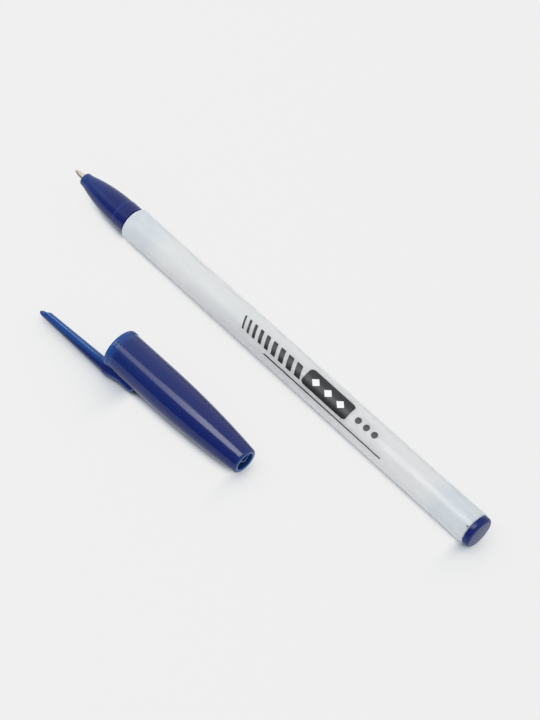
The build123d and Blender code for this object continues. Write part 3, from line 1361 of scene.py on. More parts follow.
    def build_tube(self) -> bpy.types.Object:
        """Builds the thin ink tube.

        Returns:
            The ink tube.
        """
        at = self.places
        inner = at.tube_radius - self.tube_wall
        corners = [
            (at.tube_start, inner, self.tube_round),
            (at.tube_start, at.tube_radius, self.tube_round),
            (at.tube_end, at.tube_radius, self.tube_round),
            (at.tube_end, inner, self.tube_round),
        ]
        tube = turned("ink_tube_shell", rounded(corners), at.pen, segments=self.tube_segments)
        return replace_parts(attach(tube, Body.WRITING_UNIT.value), "ink_tube")

    def build_ink(self) -> bpy.types.Object:
        """Builds the ink with the hollow surface at its rear end.

        Returns:
            The ink.
        """
        at = self.places
        wet_radius = at.tube_radius - self.tube_wall + self.wetting
        hollow = [
            (at.ink_end - self.meniscus * math.cos(turn), wet_radius * math.sin(turn))
            for turn in spread(math.pi / 2.0, math.radians(self.meniscus_turn), self.meniscus_steps)
        ]
        outline = [
            (at.tube_start, 0.0),
            (at.tube_start, wet_radius),
            *hollow,
            (at.ink_end - self.meniscus, 0.0),
        ]
        ink = turned("ink_fill", outline, at.pen, closed=False, segments=self.ink_segments)
        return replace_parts(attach(ink, Body.WRITING_UNIT.value), "ink_column")


@dataclass
class EndPlug:
    """Rear plug with a round-edged disc, a hollow spigot and an air groove.

    Attributes:
        floor: How far the spigot is closed ahead of the barrel's rear end.
        vent_gap: How far the groove stops short of the disc.
        face_reflection_reach: Length ahead of the rear face that is painted a little lighter, standing in
            for the face's reflection.
        face_painted_reflection: How light that painted reflection is, from 0 to 1.
    """

    places: PenPlaces
    edge_round: float = 0.75
    front_round: float = 0.08
    spigot_radius: float = 3.15
    spigot_wall: float = 0.9
    spigot_round: float = 0.25
    mouth_round: float = 0.15
    floor: float = 1.2
    floor_round: float = 0.3
    groove_width: float = 0.8
    groove_depth: float = 0.35
    groove_turn: float = 31.5
    vent_gap: float = 0.22
    face_reflection_reach: float = 0.9
    face_painted_reflection: float = 0.12
    segments: int = 144

    def build(self) -> bpy.types.Object:
        """Builds the plug and cuts its groove.

        Returns:
            The plug.
        """
        at = self.places
        hollow = self.spigot_radius - self.spigot_wall
        inner_floor = at.barrel_rear - self.floor
        corners = [
            (at.plug_rear, 0.0, 0.0),
            (at.plug_rear, at.plug_radius, self.edge_round),
            (at.barrel_rear, at.plug_radius, self.front_round),
            (at.barrel_rear, self.spigot_radius, 0.0),
            (at.plug_front, self.spigot_radius, self.spigot_round),
            (at.plug_front, hollow, self.mouth_round),
            (inner_floor, hollow, self.floor_round),
            (inner_floor, 0.0, 0.0),
        ]
        outline = rounded(corners, closed=False)
        plug = turned("plug_body", outline, at.pen, closed=False, segments=self.segments)
        self._cut_groove(plug)
        mask_thin_and_highlight(plug, at.pen, self._thinness)
        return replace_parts(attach(plug, Body.PLUG.value), "end_plug")

    def _thinness(self, spot: Vector) -> float:
        """How light the plug looks at a point: a painted reflection makes its rear face a little lighter."""
        # Painted reflection: the rear face is made a little lighter.
        into_face = spot.x - self.places.plug_rear + self.face_reflection_reach
        return self.face_painted_reflection * smooth_step(into_face / self.face_reflection_reach)

    def _cut_groove(self, plug: bpy.types.Object) -> None:
        """Cuts the air groove along the spigot, in line with the barrel's vent.

        Args:
            plug: The plug's body.
        """
        at = self.places
        half = self.groove_width / 2.0
        ends = (at.plug_front - self.floor, at.barrel_rear - self.vent_gap)
        depth = self.spigot_radius - self.groove_depth
        sections = [
            [
                Vector((along, -half, depth)),
                Vector((along, half, depth)),
                Vector((along, half, at.plug_radius)),
                Vector((along, -half, at.plug_radius)),
            ]
            for along in ends
        ]
        turn = at.pen @ Matrix.Rotation(math.radians(self.groove_turn), 4, "X")
        cut_away(plug, lofted("groove_cutter", sections, turn))


@dataclass
class Cap:
    """Bullet-shaped shell with a lip, an open vent and a stop rib in the vent.

    Attributes:
        lip_glow: Length of the lighter zone at the lip.
        lip_light: How light that zone is, from 0 to 1, as all lights are.
        open_glow: Length over which the shell gets deeper from its mouth.
        rim_glow: Length of the lightest zone, at the very mouth.
        inside_glow: Length of the lighter zone inside the vent end.
        fillet_reach: Where the rounded end starts to be lighter, in radii of its rounding.
        ring_width: Width of the light ring round the vent.
        ring_edges: Where that ring's light has died away and where it starts to, in ring widths.
        rib_reach: How far the rib hangs in from the vent's edge.
        rib_turn: Place of the rib round the cap, in degrees from the clip's side.
        rib_edge: Width of the border round the rib's pocket.
    """

    places: PenPlaces
    radius: float = 5.2
    end_radius: float = 3.45
    end_round: float = 0.55
    vent_radius: float = 2.35
    vent_round: float = 0.18
    lip_radius: float = 5.4
    lip_width: float = 1.1
    lip_round: float = 0.3
    lip_root_round: float = 0.16
    mouth_round: float = 0.12
    lip_glow: float = 3.6
    lip_light: float = 0.62
    open_glow: float = 30.0
    open_light: float = 0.05
    rim_glow: float = 0.4
    inside_glow: float = 5.0
    inside_light: float = 0.7
    fillet_light: float = 0.2
    fillet_reach: float = 1.3
    ring_width: float = 0.26
    ring_edges: tuple[float, float] = (1.5, 0.9)
    taper_steps: int = 40
    glow_steps: int = 8
    arc_steps: int = 8
    segments: int = 160
    rib_width: float = 3.9
    rib_root: float = 2.15
    rib_crest: float = 2.6
    rib_tip_width: float = 0.6
    rib_reach: float = 2.0
    rib_length: float = 6.0
    rib_inset: float = 0.06
    rib_turn: float = 126.0
    rib_round: float = 0.16
    rib_bevel: float = 0.06
    rib_edge: float = 0.24
    # The rib's end border gets a painted highlight, its pocket and sides a painted shade.
    rib_end_highlight: float = 1.0
    rib_shaded_level: float = 0.6
    rib_pocket_depth: float = 0.6
    rib_arc_steps: int = 5

    def _taper_radius(self, along: float, start_radius: float, end_radius: float) -> float:
        """Radius at a place of an arc that leaves the straight part without a kink.

        Args:
            along: Place along the cap's axis.
            start_radius: Radius on the straight part.
            end_radius: Radius at the small end.

        Returns:
            The arc's radius at that place.
        """
        run = self.places.cap_length - self.places.cap_straight
        drop = start_radius - end_radius
        arc = (run**2 + drop**2) / (2.0 * drop)
        into = max(0.0, along - self.places.cap_straight)
        return start_radius - arc + math.sqrt(arc**2 - into**2)

    def _inside(self, along: float) -> float:
        """Radius of the bore at a place along the cap's axis."""
        return self._taper_radius(along, self.places.cap_bore_radius, self.vent_radius)

    def build_shell(self) -> bpy.types.Object:
        """Builds the shell as one turned skin, inside and out.

        Returns:
            The cap's shell.
        """
        at = self.places
        taper = spread(at.cap_straight, at.cap_length, self.taper_steps)
        lip_end = self.lip_width + self.lip_round / 2.0
        glow = spread(lip_end + self.lip_round, self.lip_glow, self.glow_steps)
        outer = [
            (along, self._taper_radius(along, self.radius, self.end_radius), 0.0) for along in glow + taper
        ]
        inner = [(along, self._inside(along), 0.0) for along in glow + taper]
        ring_start = self.vent_radius + self.vent_round
        corners = [
            (0.0, at.cap_bore_radius, self.mouth_round),
            (0.0, self.lip_radius, self.lip_round),
            (self.lip_width, self.lip_radius, self.lip_round),
            (lip_end, self.radius, self.lip_root_round),
            *[point for point in outer if point[0] < at.cap_length - self.end_round],
            (at.cap_length, self.end_radius, self.end_round),
            *[(at.cap_length, ring_start + edge * self.ring_width, 0.0) for edge in self.ring_edges],
            (at.cap_length, self.vent_radius, self.vent_round),
            *[point for point in reversed(inner) if point[0] < at.cap_length - self.vent_round],
        ]
        outline = rounded(corners, arc_steps=self.arc_steps)
        shell = turned("cap_shell", outline, at.cap, segments=self.segments)
        mask_thin_and_highlight(shell, at.cap, self._thinness)
        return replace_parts(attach(shell, Body.CAP.value), "cap")

    def _thinness(self, spot: Vector) -> float:
        """How light the wall looks at a point: at the lip, round the vent and inside the small end.

        Args:
            spot: Point in the cap's own frame, in millimetres.

        Returns:
            Share from 0, deep, to 1, light.
        """
        length = self.places.cap_length
        at_rim = smooth_step((self.rim_glow - spot.x) / self.rim_glow)
        at_lip = self.lip_light * smooth_step((self.lip_glow - spot.x) / self.lip_glow)
        into_end = spot.x - length + self.fillet_reach * self.end_round
        at_end = self.fillet_light * smooth_step(into_end / self.end_round)
        at_open = self.open_light * smooth_step((self.open_glow - spot.x) / self.open_glow)
        off_axis = math.hypot(spot.y, spot.z)
        ring_edge = self.vent_radius + self.vent_round + self.ring_width
        on_face = spot.x > length - self.vent_round and off_axis < ring_edge
        if not on_face and off_axis < self._inside(spot.x) + self.mouth_round / 2.0:
            into_vent = spot.x - length + self.inside_glow
            at_end = self.inside_light * smooth_step(into_vent / self.inside_glow)
        return max(at_rim, at_lip, at_open, at_end, 1.0 if on_face else 0.0)

    def _rib_outline(self, inset: float) -> Profile:
        """Outline of the rib across the cap's axis: a wedge whose back follows the wall.

        Args:
            inset: How far the wedge's free sides stand back from their full size.

        Returns:
            The closed outline as pairs of distance below the axis and place across it.
        """
        base, tip = self.rib_width / 2.0 - inset, (self.rib_tip_width - inset) / 2.0
        low = self.rib_reach - self.vent_radius - inset
        return rounded(
            [
                (-self.rib_root, -base, 0.0),
                (low, -tip, self.rib_round),
                (low, tip, self.rib_round),
                (-self.rib_root, base, 0.0),
                (-self.rib_crest, 0.0, 0.0),
            ],
            arc_steps=self.rib_arc_steps,
        )

    def build_rib(self) -> bpy.types.Object:
        """Builds the wedge that hangs into the vent, with a shallow pocket in its end.

        Returns:
            The stop rib.
        """
        at = self.places
        rear = at.cap_length - self.rib_inset
        floor = rear - self.rib_pocket_depth
        sections = []
        for along, inset in (
            (rear - self.rib_length, 0.0),
            (floor, 0.0),
            (rear - self.rib_bevel, 0.0),
            (rear, self.rib_bevel),
            (rear, self.rib_bevel + self.rib_edge),
            (rear - self.rib_bevel, self.rib_bevel + self.rib_edge),
            (floor, 2.0 * self.rib_bevel + self.rib_edge),
        ):
            sections.append([Vector((along, side, across)) for side, across in self._rib_outline(inset)])
        turn = at.cap @ Matrix.Rotation(math.radians(-self.rib_turn), 4, "X")
        rib = lofted("cap_stop_rib", sections, turn)
        mask_thin_and_highlight(rib, at.cap, self._rib_highlight_and_shade)
        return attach(rib, Body.CAP.value)

    def _rib_highlight_and_shade(self, spot: Vector) -> float:
        """Painted light of the rib at a point: a painted highlight on its end's border, and painted shade in
        its pocket and on its sides.
        """
        on_end = spot.x > self.places.cap_length - self.rib_inset - self.rib_bevel
        return self.rib_end_highlight if on_end else self.rib_shaded_level


@dataclass
class Clip:
    """Clip with its bracket on the cap, as one bending piece with a D-shaped section.

    Attributes:
        inner_root: Distance of the arm's inner face from the cap's axis, at the mouth.
        inner_tip: The same ahead of the tongue.
        lead_in: Length of the tongue at the tip, with the step that leads to it.
        tip_turn: Place of the tongue's first section, in degrees of a quarter turn.
        edge_limit: Largest rounding of an edge, as a share of the section's height and half width.
        edge_room: Height that the crown leaves to a rounded edge, in roundings.
        edge_highlight_reach: Width of the painted highlight along the inner face's edges, in roundings.
        inside_reach: Height of the frosted inner face with its edges, in roundings.
        root_step: How far the arm stands in from the bracket.
        deep_root: Distance from the axis past which the arm is deep blue, at the mouth.
        deep_tip: The same at the tip.
        inside_light: How light the inner face is at its one edge and at its other, from 0 to 1, as a painted
            shading across the face.
        fairing_ease: Share of an eased fall in the bracket's fairing, while the rest is straight.
        tail_taper: How far the tail narrows to its end, where 1 is a point.
        foot: Distance of the bracket's inner face from the axis, inside the shell's wall.
        flex_length: Length of the arm that bends.
    """

    places: PenPlaces
    half_width: float = 1.7
    tip_half_width: float = 1.4
    inner_root: float = 4.5
    inner_tip: float = 5.52
    lead_in: float = 1.75
    step_run: float = 0.3
    tongue_inner: float = 6.15
    tip_inner: float = 6.3
    tongue_half_width: float = 1.13
    tongue_light: float = 0.3
    tip_run: float = 1.0
    tip_blunt: float = 0.35
    tip_corner: float = 0.4
    tip_turn: float = 9.0
    least_height: float = 0.05
    edge_round: float = 0.12
    edge_limit: float = 0.3
    edge_room: float = 2.2
    edge_highlight_reach: float = 1.5
    inside_reach: float = 1.05
    root_step: float = 0.27
    deep_root: float = 5.25
    deep_tip: float = 7.25
    deep_fade: float = 0.95
    arm_light: float = 0.44
    inside_light: tuple[float, float] = (0.2, 0.56)
    far_edge_highlight: float = 0.6
    edge_highlight_fade: float = 6.0
    low_glow: float = 1.3
    bracket_light: float = 0.55
    knuckle_length: float = 0.6
    fairing_length: float = 3.8
    fairing_ease: float = 0.35
    tail_radius: float = 6.7
    tail_half_width: float = 1.2
    tail_length: float = 9.6
    tail_taper: float = 0.97
    foot: float = 4.85
    root_blend: float = 0.12
    root_end: float = 0.4
    arm_start: float = 1.0
    station_gap: float = 0.2
    flex_length: float = 6.0
    crown_steps: int = 20
    side_steps: int = 5
    corner_steps: int = 5
    tail_steps: int = 10
    fairing_steps: int = 22
    arm_steps: int = 26
    lead_steps: int = 8
    tip_steps: int = 12

    def _inner(self, along: float) -> float:
        """Radius of the flat inner face.

        Args:
            along: Place along the cap's axis, in millimetres.

        Returns:
            The radius at that place.
        """
        at_lead = self.lead_in - self.places.clip_reach
        if along > 0.0:
            return self.foot
        if along >= at_lead:
            return self.inner_root + (self.inner_tip - self.inner_root) * along / at_lead
        if along >= at_lead - self.step_run:
            share = smooth_step((at_lead - along) / self.step_run)
            return self.inner_tip + (self.tongue_inner - self.inner_tip) * share
        tongue_start = at_lead - self.step_run
        share = (tongue_start - along) / (tongue_start + self.places.clip_reach)
        return self.tongue_inner + (self.tip_inner - self.tongue_inner) * share

    def _tail_share(self, along: float) -> float:
        """Share of the tail's height and width that is left where its end is rounded off.

        Args:
            along: Place along the cap's axis, in millimetres.

        Returns:
            The share at that place, which is 1 ahead of the rounded end.
        """
        past_center = along - self.tail_length + self.tail_half_width
        share = min(1.0, max(0.0, past_center) / self.tail_half_width)
        return math.sqrt(1.0 - self.tail_taper * share**2)

    def _outer(self, along: float) -> float:
        """Radius of the crown.

        Args:
            along: Place along the cap's axis, in millimetres.

        Returns:
            The radius at that place.
        """
        top = self.places.clip_outer_radius
        run_start = self.tip_run - self.places.clip_reach
        if along < run_start:
            share = min(1.0, (run_start - along) / self.tip_run)
            blunt = self.tip_inner + self.tip_blunt
            return blunt + (top - self.root_step - blunt) * math.sqrt(max(0.0, 1.0 - share**2))
        if along < 0.0:
            return top - self.root_step
        if along <= self.knuckle_length:
            return top
        straight = min(1.0, (along - self.knuckle_length) / self.fairing_length)
        eased = self.fairing_ease * smooth_step(straight) + (1.0 - self.fairing_ease) * straight
        height = top + (self.tail_radius - top) * eased
        return self.foot + (height - self.foot) * self._tail_share(along)

    def _half(self, along: float) -> float:
        """Half of the clip's width.

        Args:
            along: Place along the cap's axis, in millimetres.

        Returns:
            Half of the width at that place.
        """
        if along <= self.knuckle_length:
            share = max(0.0, -along) / self.places.clip_reach
            half = self.half_width + (self.tip_half_width - self.half_width) * share
            half -= self.root_step if along < 0.0 else 0.0
            past_step = smooth_step((self.lead_in - self.places.clip_reach - along) / self.step_run)
            half += (self.tongue_half_width - half) * past_step
            into = self.tip_corner - (self.places.clip_reach + along)
            if into > 0.0:
                half -= self.tip_corner - math.sqrt(max(0.0, self.tip_corner**2 - into**2))
            return half
        fall = smooth_step((along - self.knuckle_length) / self.fairing_length)
        half = self.half_width + (self.tail_half_width - self.half_width) * fall
        return half * self._tail_share(along)

    def _section(self, along: float) -> list[Vector]:
        """D-shaped cross-section: flat inside with rounded edges, a crown outside.

        Args:
            along: Place along the cap's axis, in millimetres.

        Returns:
            The section's points, in the cap's own frame.
        """
        inner, outer, half = self._inner(along), self._outer(along), self._half(along)
        height = max(self.least_height, outer - inner)
        edge = min(self.edge_round, self.edge_limit * height, self.edge_limit * half)
        crown = min(half, height - self.edge_room * edge)
        points = []
        for turn in spread(0.0, math.pi, self.crown_steps):
            points.append((half * math.cos(turn), outer - crown + crown * math.sin(turn)))
        flat = spread(outer - crown, inner + 2.0 * edge, self.side_steps)
        corner = [(-half, radius) for radius in flat[1:]]
        for turn in spread(0.0, math.pi / 2.0, self.corner_steps):
            corner.append((edge - half - edge * math.cos(turn), inner + edge - edge * math.sin(turn)))
        corner.append((2.0 * edge - half, inner))
        points += corner
        points += [(-across, radius) for across, radius in reversed(corner)]
        return [Vector((along, -radius, across)) for across, radius in points]

    def _thinness(self, spot: Vector) -> float:
        """How light the plastic looks at a point: deep at the root, light at the tip, with painted
        highlights on the inner face's edges and painted shading across that face.

        Args:
            spot: Point in the cap's own frame, in millimetres.

        Returns:
            Share from 0, deep, to 1, light.
        """
        along, radius = spot.x, -spot.y
        if along >= 0.0:
            into_crown = radius - self._outer(along) + self.low_glow
            return self.bracket_light * smooth_step(into_crown / self.low_glow)
        deep_from = self.deep_root - (self.deep_tip - self.deep_root) * along / self.places.clip_reach
        body = self.arm_light * smooth_step((deep_from - radius) / self.deep_fade + 0.5)
        if not self._on_inside(spot):
            return body
        if along < self.lead_in - self.places.clip_reach:
            return self.tongue_light
        half = self._half(along)
        # Painted highlight along both edges of the inner face, dimmer at the far edge and fading towards the
        # root.
        if abs(spot.z) > half - self.edge_highlight_reach * self.edge_round:
            edge = 1.0 if spot.z > 0.0 else self.far_edge_highlight
            return max(body, edge * smooth_step(-along / self.edge_highlight_fade))
        # Painted shading across the inner face, lighter towards its far edge.
        near, far = self.inside_light
        return near + (far - near) * (half - spot.z) / (2.0 * half)

    def _on_inside(self, spot: Vector) -> bool:
        """Whether a point of the arm lies on its frosted inner face or on that face's rounded edges."""
        return spot.x < 0.0 and -spot.y - self._inner(spot.x) < self.inside_reach * self.edge_round

    def frost(self, clip: bpy.types.Object, frosted: bpy.types.Material) -> bpy.types.Object:
        """Gives the arm's inner face its frosted plastic.

        Args:
            clip: The dressed clip.
            frosted: The frosted plastic.

        Returns:
            The same clip.
        """
        clip.data.materials.append(frosted)
        to_own = self.places.cap.inverted()
        for face in clip.data.polygons:
            face.material_index = int(self._on_inside((to_own @ face.center) / MM))
        return clip

    def _stations(self) -> list[float]:
        """Places of the cross-sections, closer together where the form turns.

        Returns:
            The places along the cap's axis, from the tail's end to the tip.
        """
        reach = self.places.clip_reach
        at_lead = self.lead_in - reach
        end_center = self.tail_length - self.tail_half_width
        tail_end = [
            end_center + self.tail_half_width * math.sin(turn)
            for turn in spread(math.pi / 2.0, 0.0, self.tail_steps)
        ]
        fairing = spread(end_center - self.station_gap, self.knuckle_length, self.fairing_steps)
        root = [self.knuckle_length / 2.0, self.root_blend, 0.0, -self.root_blend, -self.root_end]
        arm = spread(-self.arm_start, at_lead + self.station_gap, self.arm_steps)
        tongue_start = at_lead - self.step_run
        step = spread(at_lead, tongue_start, self.lead_steps)
        tip = [
            tongue_start - (reach + tongue_start) * math.sin(turn)
            for turn in spread(math.radians(self.tip_turn), math.pi / 2.0, self.tip_steps)
        ]
        return tail_end + fairing + root + arm + step + tip

    def build(self) -> bpy.types.Object:
        """Builds the clip and lets it bend between the cap and the clip's body.

        Returns:
            The clip.
        """
        at = self.places
        clip = lofted("clip_arm", [self._section(along) for along in self._stations()], at.cap)
        mask_thin_and_highlight(clip, at.cap, self._thinness)
        start = at.cap @ (Vector((0.0, -self.foot, 0.0)) * MM)
        end = at.cap @ (Vector((-self.flex_length, -self.foot, 0.0)) * MM)
        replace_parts(clip, "cap_clip")
        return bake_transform(clip, Body.CAP.value, Body.CLIP.value, start=start, end=end)


@dataclass
class Studio:
    """Pale table, soft light and the camera at the photograph's viewing angle.

    Attributes:
        shadow_falls: How strongly the shadow dims red, green and blue.
        shadow_lean: Direction of the light that draws the wide shadow.
        table_lift: Share of the table's look that doesn't hang on the light.
        shadow_reach: Distance within which a piece shades the table, in metres.
        pale_shadow: Openness with full shadow and openness with none, beside the barrel.
        deep_shadow: The same by the blue pieces.
        wide_shadow: The same under the clip and past the ends.
        vent_shadow: The same at the cap's vent end.
        tail_run: How far behind the cap's mouth the clip's wide shadow goes.
        fill_dark: Level of the soft light from the near side.
        sky_dark: Level of the near side as it shows in gloss.
        softbox_gain: How much the box gains in radiance over its rise.
        side_panel_shares: Radiance of the dim panel at its far and its near end, as shares of the box's.
    """

    places: PenPlaces
    table_colour: Colour = (0.858, 0.858, 0.858, 1.0)
    shadow_falls: tuple[float, float, float] = (1.0, 0.89, 0.73)
    shadow_lean: tuple[float, float, float] = (-0.1, 0.45, 0.887)
    table_size: float = 6.0
    table_lift: float = 0.9
    shadow_reach: float = 0.02
    shadow_curve: float = 2.0
    pale_shadow: tuple[float, float] = (0.26, 0.475)
    deep_shadow: tuple[float, float] = (0.337, 0.587)
    wide_shadow: tuple[float, float] = (0.1, 0.97)
    vent_lean: tuple[float, float, float] = (-0.75, 0.1, 0.66)
    vent_reach: float = 0.005
    vent_shadow: tuple[float, float] = (0.3, 0.85)
    tail_run: float = 0.006
    clip_fade: float = 0.005
    wide_side: float = -0.009
    wide_fade: float = 0.005
    deep_side: float = 0.003
    deep_fade: float = 0.003
    azimuth: float = 47.0
    elevation: float = 57.5
    distance: float = 0.4838
    lens: float = 100.0
    sensor: float = 36.0
    clip_start: float = 0.01
    target: tuple[float, float, float] = (0.00447, 0.012185, 0.00433)
    fill_dark: float = 0.64
    fill_bright: float = 0.7
    sky_dark: float = 0.02
    sky_bright: float = 1.05
    sky_direction: tuple[float, float, float] = (-0.1, 0.9, 0.42)
    sky_from: float = -0.9
    sky_to: float = 1.1
    softbox_radiance: float = 3.9
    softbox_gain: float = 4.6
    softbox_rise: tuple[float, float] = (-0.45, -0.2)
    softbox_curve: float = 2.0
    softbox_height: float = 0.9
    softbox_corners: tuple[tuple[float, float], ...] = (
        (-0.505, -0.56),
        (-0.30, -0.59),
        (-0.02, -0.30),
        (-0.02, 0.20),
        (-0.505, -0.23),
    )
    side_panel_shares: tuple[float, float] = (0.28, 0.2)
    side_panel_run: tuple[float, float] = (-0.9, -0.55)
    side_panel_corners: tuple[tuple[float, float], ...] = (
        (-1.3, -0.8),
        (-0.505, -0.8),
        (-0.505, -0.13),
        (-1.3, -0.06),
    )
    panel_seam: float = 0.005

    def build(self) -> None:
        """Builds the table, the lights and the camera."""
        self._build_table()
        self._build_sky()
        self._build_softbox()
        self._build_camera()
        bpy.context.scene.view_settings.view_transform = "Standard"

    def _build_table(self) -> None:
        """Wide flat table under the pen, bright to the eye but for the shadow close to the pieces."""
        shape = bmesh.new()
        half = self.table_size / 2.0
        corners = [(-half, -half, 0.0), (half, -half, 0.0), (half, half, 0.0), (-half, half, 0.0)]
        shape.faces.new([shape.verts.new(corner) for corner in corners])
        table = finish_mesh("table_top", shape)
        material, graph, shader = new_material("pale_table")
        shader.inputs["Base Color"].default_value = self.table_colour
        shader.inputs["Roughness"].default_value = 1.0
        shader.inputs["Specular IOR Level"].default_value = 0.0
        lift = graph.add("ShaderNodeEmission")
        light = graph.math("SUBTRACT", 1.0, self._shade(graph))
        shaded = graph.add("ShaderNodeCombineColor")
        for channel, (fall, level) in enumerate(zip(self.shadow_falls, self.table_colour)):
            dimmed = graph.math("MULTIPLY", graph.math("POWER", light, fall), level)
            graph.join(dimmed, shaded.inputs[channel])
        graph.join(shaded.outputs[0], lift.inputs["Color"])
        path = graph.add("ShaderNodeLightPath")
        seen = graph.math("MAXIMUM", path.outputs["Is Camera Ray"], path.outputs["Is Glossy Ray"])
        seen = graph.math("MAXIMUM", seen, path.outputs["Is Transmission Ray"])
        blend = graph.add("ShaderNodeMixShader")
        graph.join(graph.math("MULTIPLY", seen, self.table_lift), blend.inputs[0])
        graph.join(shader.outputs[0], blend.inputs[1])
        graph.join(lift.outputs[0], blend.inputs[2])
        output = next(node for node in material.node_tree.nodes if node.type == "OUTPUT_MATERIAL")
        graph.join(blend.outputs[0], output.inputs["Surface"])
        table.data.materials.append(material)

    def _shade(self, graph: Graph) -> bpy.types.NodeSocket:
        """Depth of the shadow on the table.

        Args:
            graph: Graph of the table's material.

        Returns:
            Socket with the depth, from 0 in the open to 1 under a piece.
        """
        overhead = self._openness(graph, (0.0, 0.0, 1.0), self.shadow_reach)
        leaning = self._openness(graph, self.shadow_lean, self.shadow_reach)
        at_vent = self._openness(graph, self.vent_lean, self.vent_reach)
        pale, deep, wide, close = (
            graph.math("POWER", graph.ramp(openness, gone, full, smooth=False), self.shadow_curve)
            for openness, (full, gone) in (
                (overhead, self.pale_shadow),
                (overhead, self.deep_shadow),
                (leaning, self.wide_shadow),
                (at_vent, self.vent_shadow),
            )
        )
        by_blue, past_ends, by_vent = self._shadow_regions(graph)
        deeper = graph.math("MULTIPLY", by_blue, graph.math("SUBTRACT", deep, pale))
        beside = graph.math("ADD", pale, deeper)
        beyond = graph.math("MULTIPLY", wide, past_ends)
        below_vent = graph.math("MULTIPLY", close, by_vent)
        return graph.math("MAXIMUM", graph.math("MAXIMUM", beside, beyond), below_vent)

    def _openness(
        self, graph: Graph, lean: tuple[float, float, float], reach: float
    ) -> bpy.types.NodeSocket:
        """How open the table is to the light, from 0 under a piece to 1 far from all pieces.

        Args:
            graph: Graph of the table's material.
            lean: Direction that the light comes from.
            reach: Distance within which a piece takes light away, in metres.

        Returns:
            Socket with the openness.
        """
        open_sky = graph.add("ShaderNodeAmbientOcclusion")
        open_sky.inputs["Distance"].default_value = reach
        direction = graph.add("ShaderNodeCombineXYZ")
        for socket, value in zip(direction.inputs, Vector(lean).normalized()):
            socket.default_value = value
        graph.join(direction.outputs[0], open_sky.inputs["Normal"])
        return open_sky.outputs["AO"]

    def _shadow_regions(self, graph: Graph) -> tuple[bpy.types.NodeSocket, ...]:
        """Parts of the table whose shadow is deeper or wider than beside the white barrel.

        Args:
            graph: Graph of the table's material.

        Returns:
            Three sockets. The first is 1 by the cap, the nose and the plug, which throw no light back into
            their shadow. The second is 1 under the clip and past the ends of the cap and the pen, where the
            shadow spreads. The third is 1 at the cap's vent end, which lies close above the table.
        """
        axes = graph.axes()
        front, rear = self.places.barrel_front * MM, self.places.barrel_rear * MM
        mouth = self.places.cap.translation.x
        vent = (self.places.cap @ Vector((self.places.cap_length * MM, 0.0, 0.0))).x
        by_cap = graph.ramp(axes["Y"], self.deep_side + self.deep_fade, self.deep_side)
        by_nose = graph.ramp(axes["X"], front, front - self.deep_fade)
        by_plug = graph.ramp(axes["X"], rear - self.deep_fade, rear)
        tail_end = mouth + self.tail_run
        by_clip = graph.ramp(axes["X"], tail_end + self.clip_fade, tail_end)
        by_vent = graph.ramp(axes["X"], vent - self.deep_fade, vent)
        by_blue = graph.math("MAXIMUM", by_cap, graph.math("MAXIMUM", by_nose, by_plug))
        close_by = graph.ramp(axes["Y"], self.wide_side + self.wide_fade, self.wide_side)
        by_vent = graph.math("MULTIPLY", close_by, by_vent)
        off_cap = graph.math("MAXIMUM", graph.math("MULTIPLY", close_by, by_clip), by_vent)
        return by_blue, graph.math("MAXIMUM", off_cap, by_plug), by_vent

    def _build_sky(self) -> None:
        """Soft light, a little stronger from the far side, which shows in gloss with a dark near side."""
        world = bpy.data.worlds.new("soft_surroundings")
        bpy.context.scene.world = world
        world.use_nodes = True
        graph = Graph(world.node_tree)
        place = graph.add("ShaderNodeTexCoord").outputs["Generated"]
        facing = graph.add("ShaderNodeVectorMath", operation="DOT_PRODUCT")
        graph.join(place, facing.inputs[0])
        facing.inputs[1].default_value = Vector(self.sky_direction).normalized()
        share = graph.ramp(facing.outputs["Value"], self.sky_from, self.sky_to)
        path = graph.add("ShaderNodeLightPath")
        mirrored = graph.math("MAXIMUM", path.outputs["Is Glossy Ray"], path.outputs["Is Transmission Ray"])
        sides = graph.mix(share, grey(self.sky_dark), grey(self.sky_bright))
        fill = graph.mix(share, grey(self.fill_dark), grey(self.fill_bright))
        lit = graph.mix(mirrored, fill, sides)
        sky = graph.add("ShaderNodeBackground")
        graph.join(graph.mix(path.outputs["Is Camera Ray"], lit, self.table_colour), sky.inputs["Color"])
        graph.join(sky.outputs[0], graph.add("ShaderNodeOutputWorld").inputs["Surface"])

    def _build_softbox(self) -> None:
        """Wide soft box overhead, which draws the crisp streak on the cap, with a dim panel ahead of it."""
        shape = bmesh.new()
        middle = Vector(self.target)
        for corners in (self.softbox_corners, self.side_panel_corners):
            spots = [middle + Vector((across, away, self.softbox_height)) for across, away in corners]
            shape.faces.new([shape.verts.new(spot) for spot in spots])
        softbox = finish_mesh("softbox", shape)
        material = bpy.data.materials.new("softbox_light")
        material.use_nodes = True
        graph = Graph(material.node_tree)
        glow = graph.add("ShaderNodeEmission")
        along = graph.math("SUBTRACT", graph.axes()["X"], middle.x)
        rising = graph.ramp(along, *self.softbox_rise, smooth=False)
        rise = graph.math("POWER", rising, self.softbox_curve)
        radiance = graph.math("ADD", graph.math("MULTIPLY", rise, self.softbox_gain), self.softbox_radiance)
        front = self.softbox_corners[0][0]
        past_seam = graph.ramp(along, front - self.panel_seam, front + self.panel_seam)
        far_share, near_share = self.side_panel_shares
        nearer = graph.math("MULTIPLY", graph.ramp(along, *self.side_panel_run), near_share - far_share)
        dim = graph.math("ADD", nearer, far_share)
        share = graph.math("MAXIMUM", past_seam, dim)
        graph.join(graph.math("MULTIPLY", radiance, share), glow.inputs["Strength"])
        graph.join(glow.outputs[0], graph.add("ShaderNodeOutputMaterial").inputs["Surface"])
        softbox.data.materials.append(material)
        softbox.visible_camera = False
        softbox.visible_shadow = False

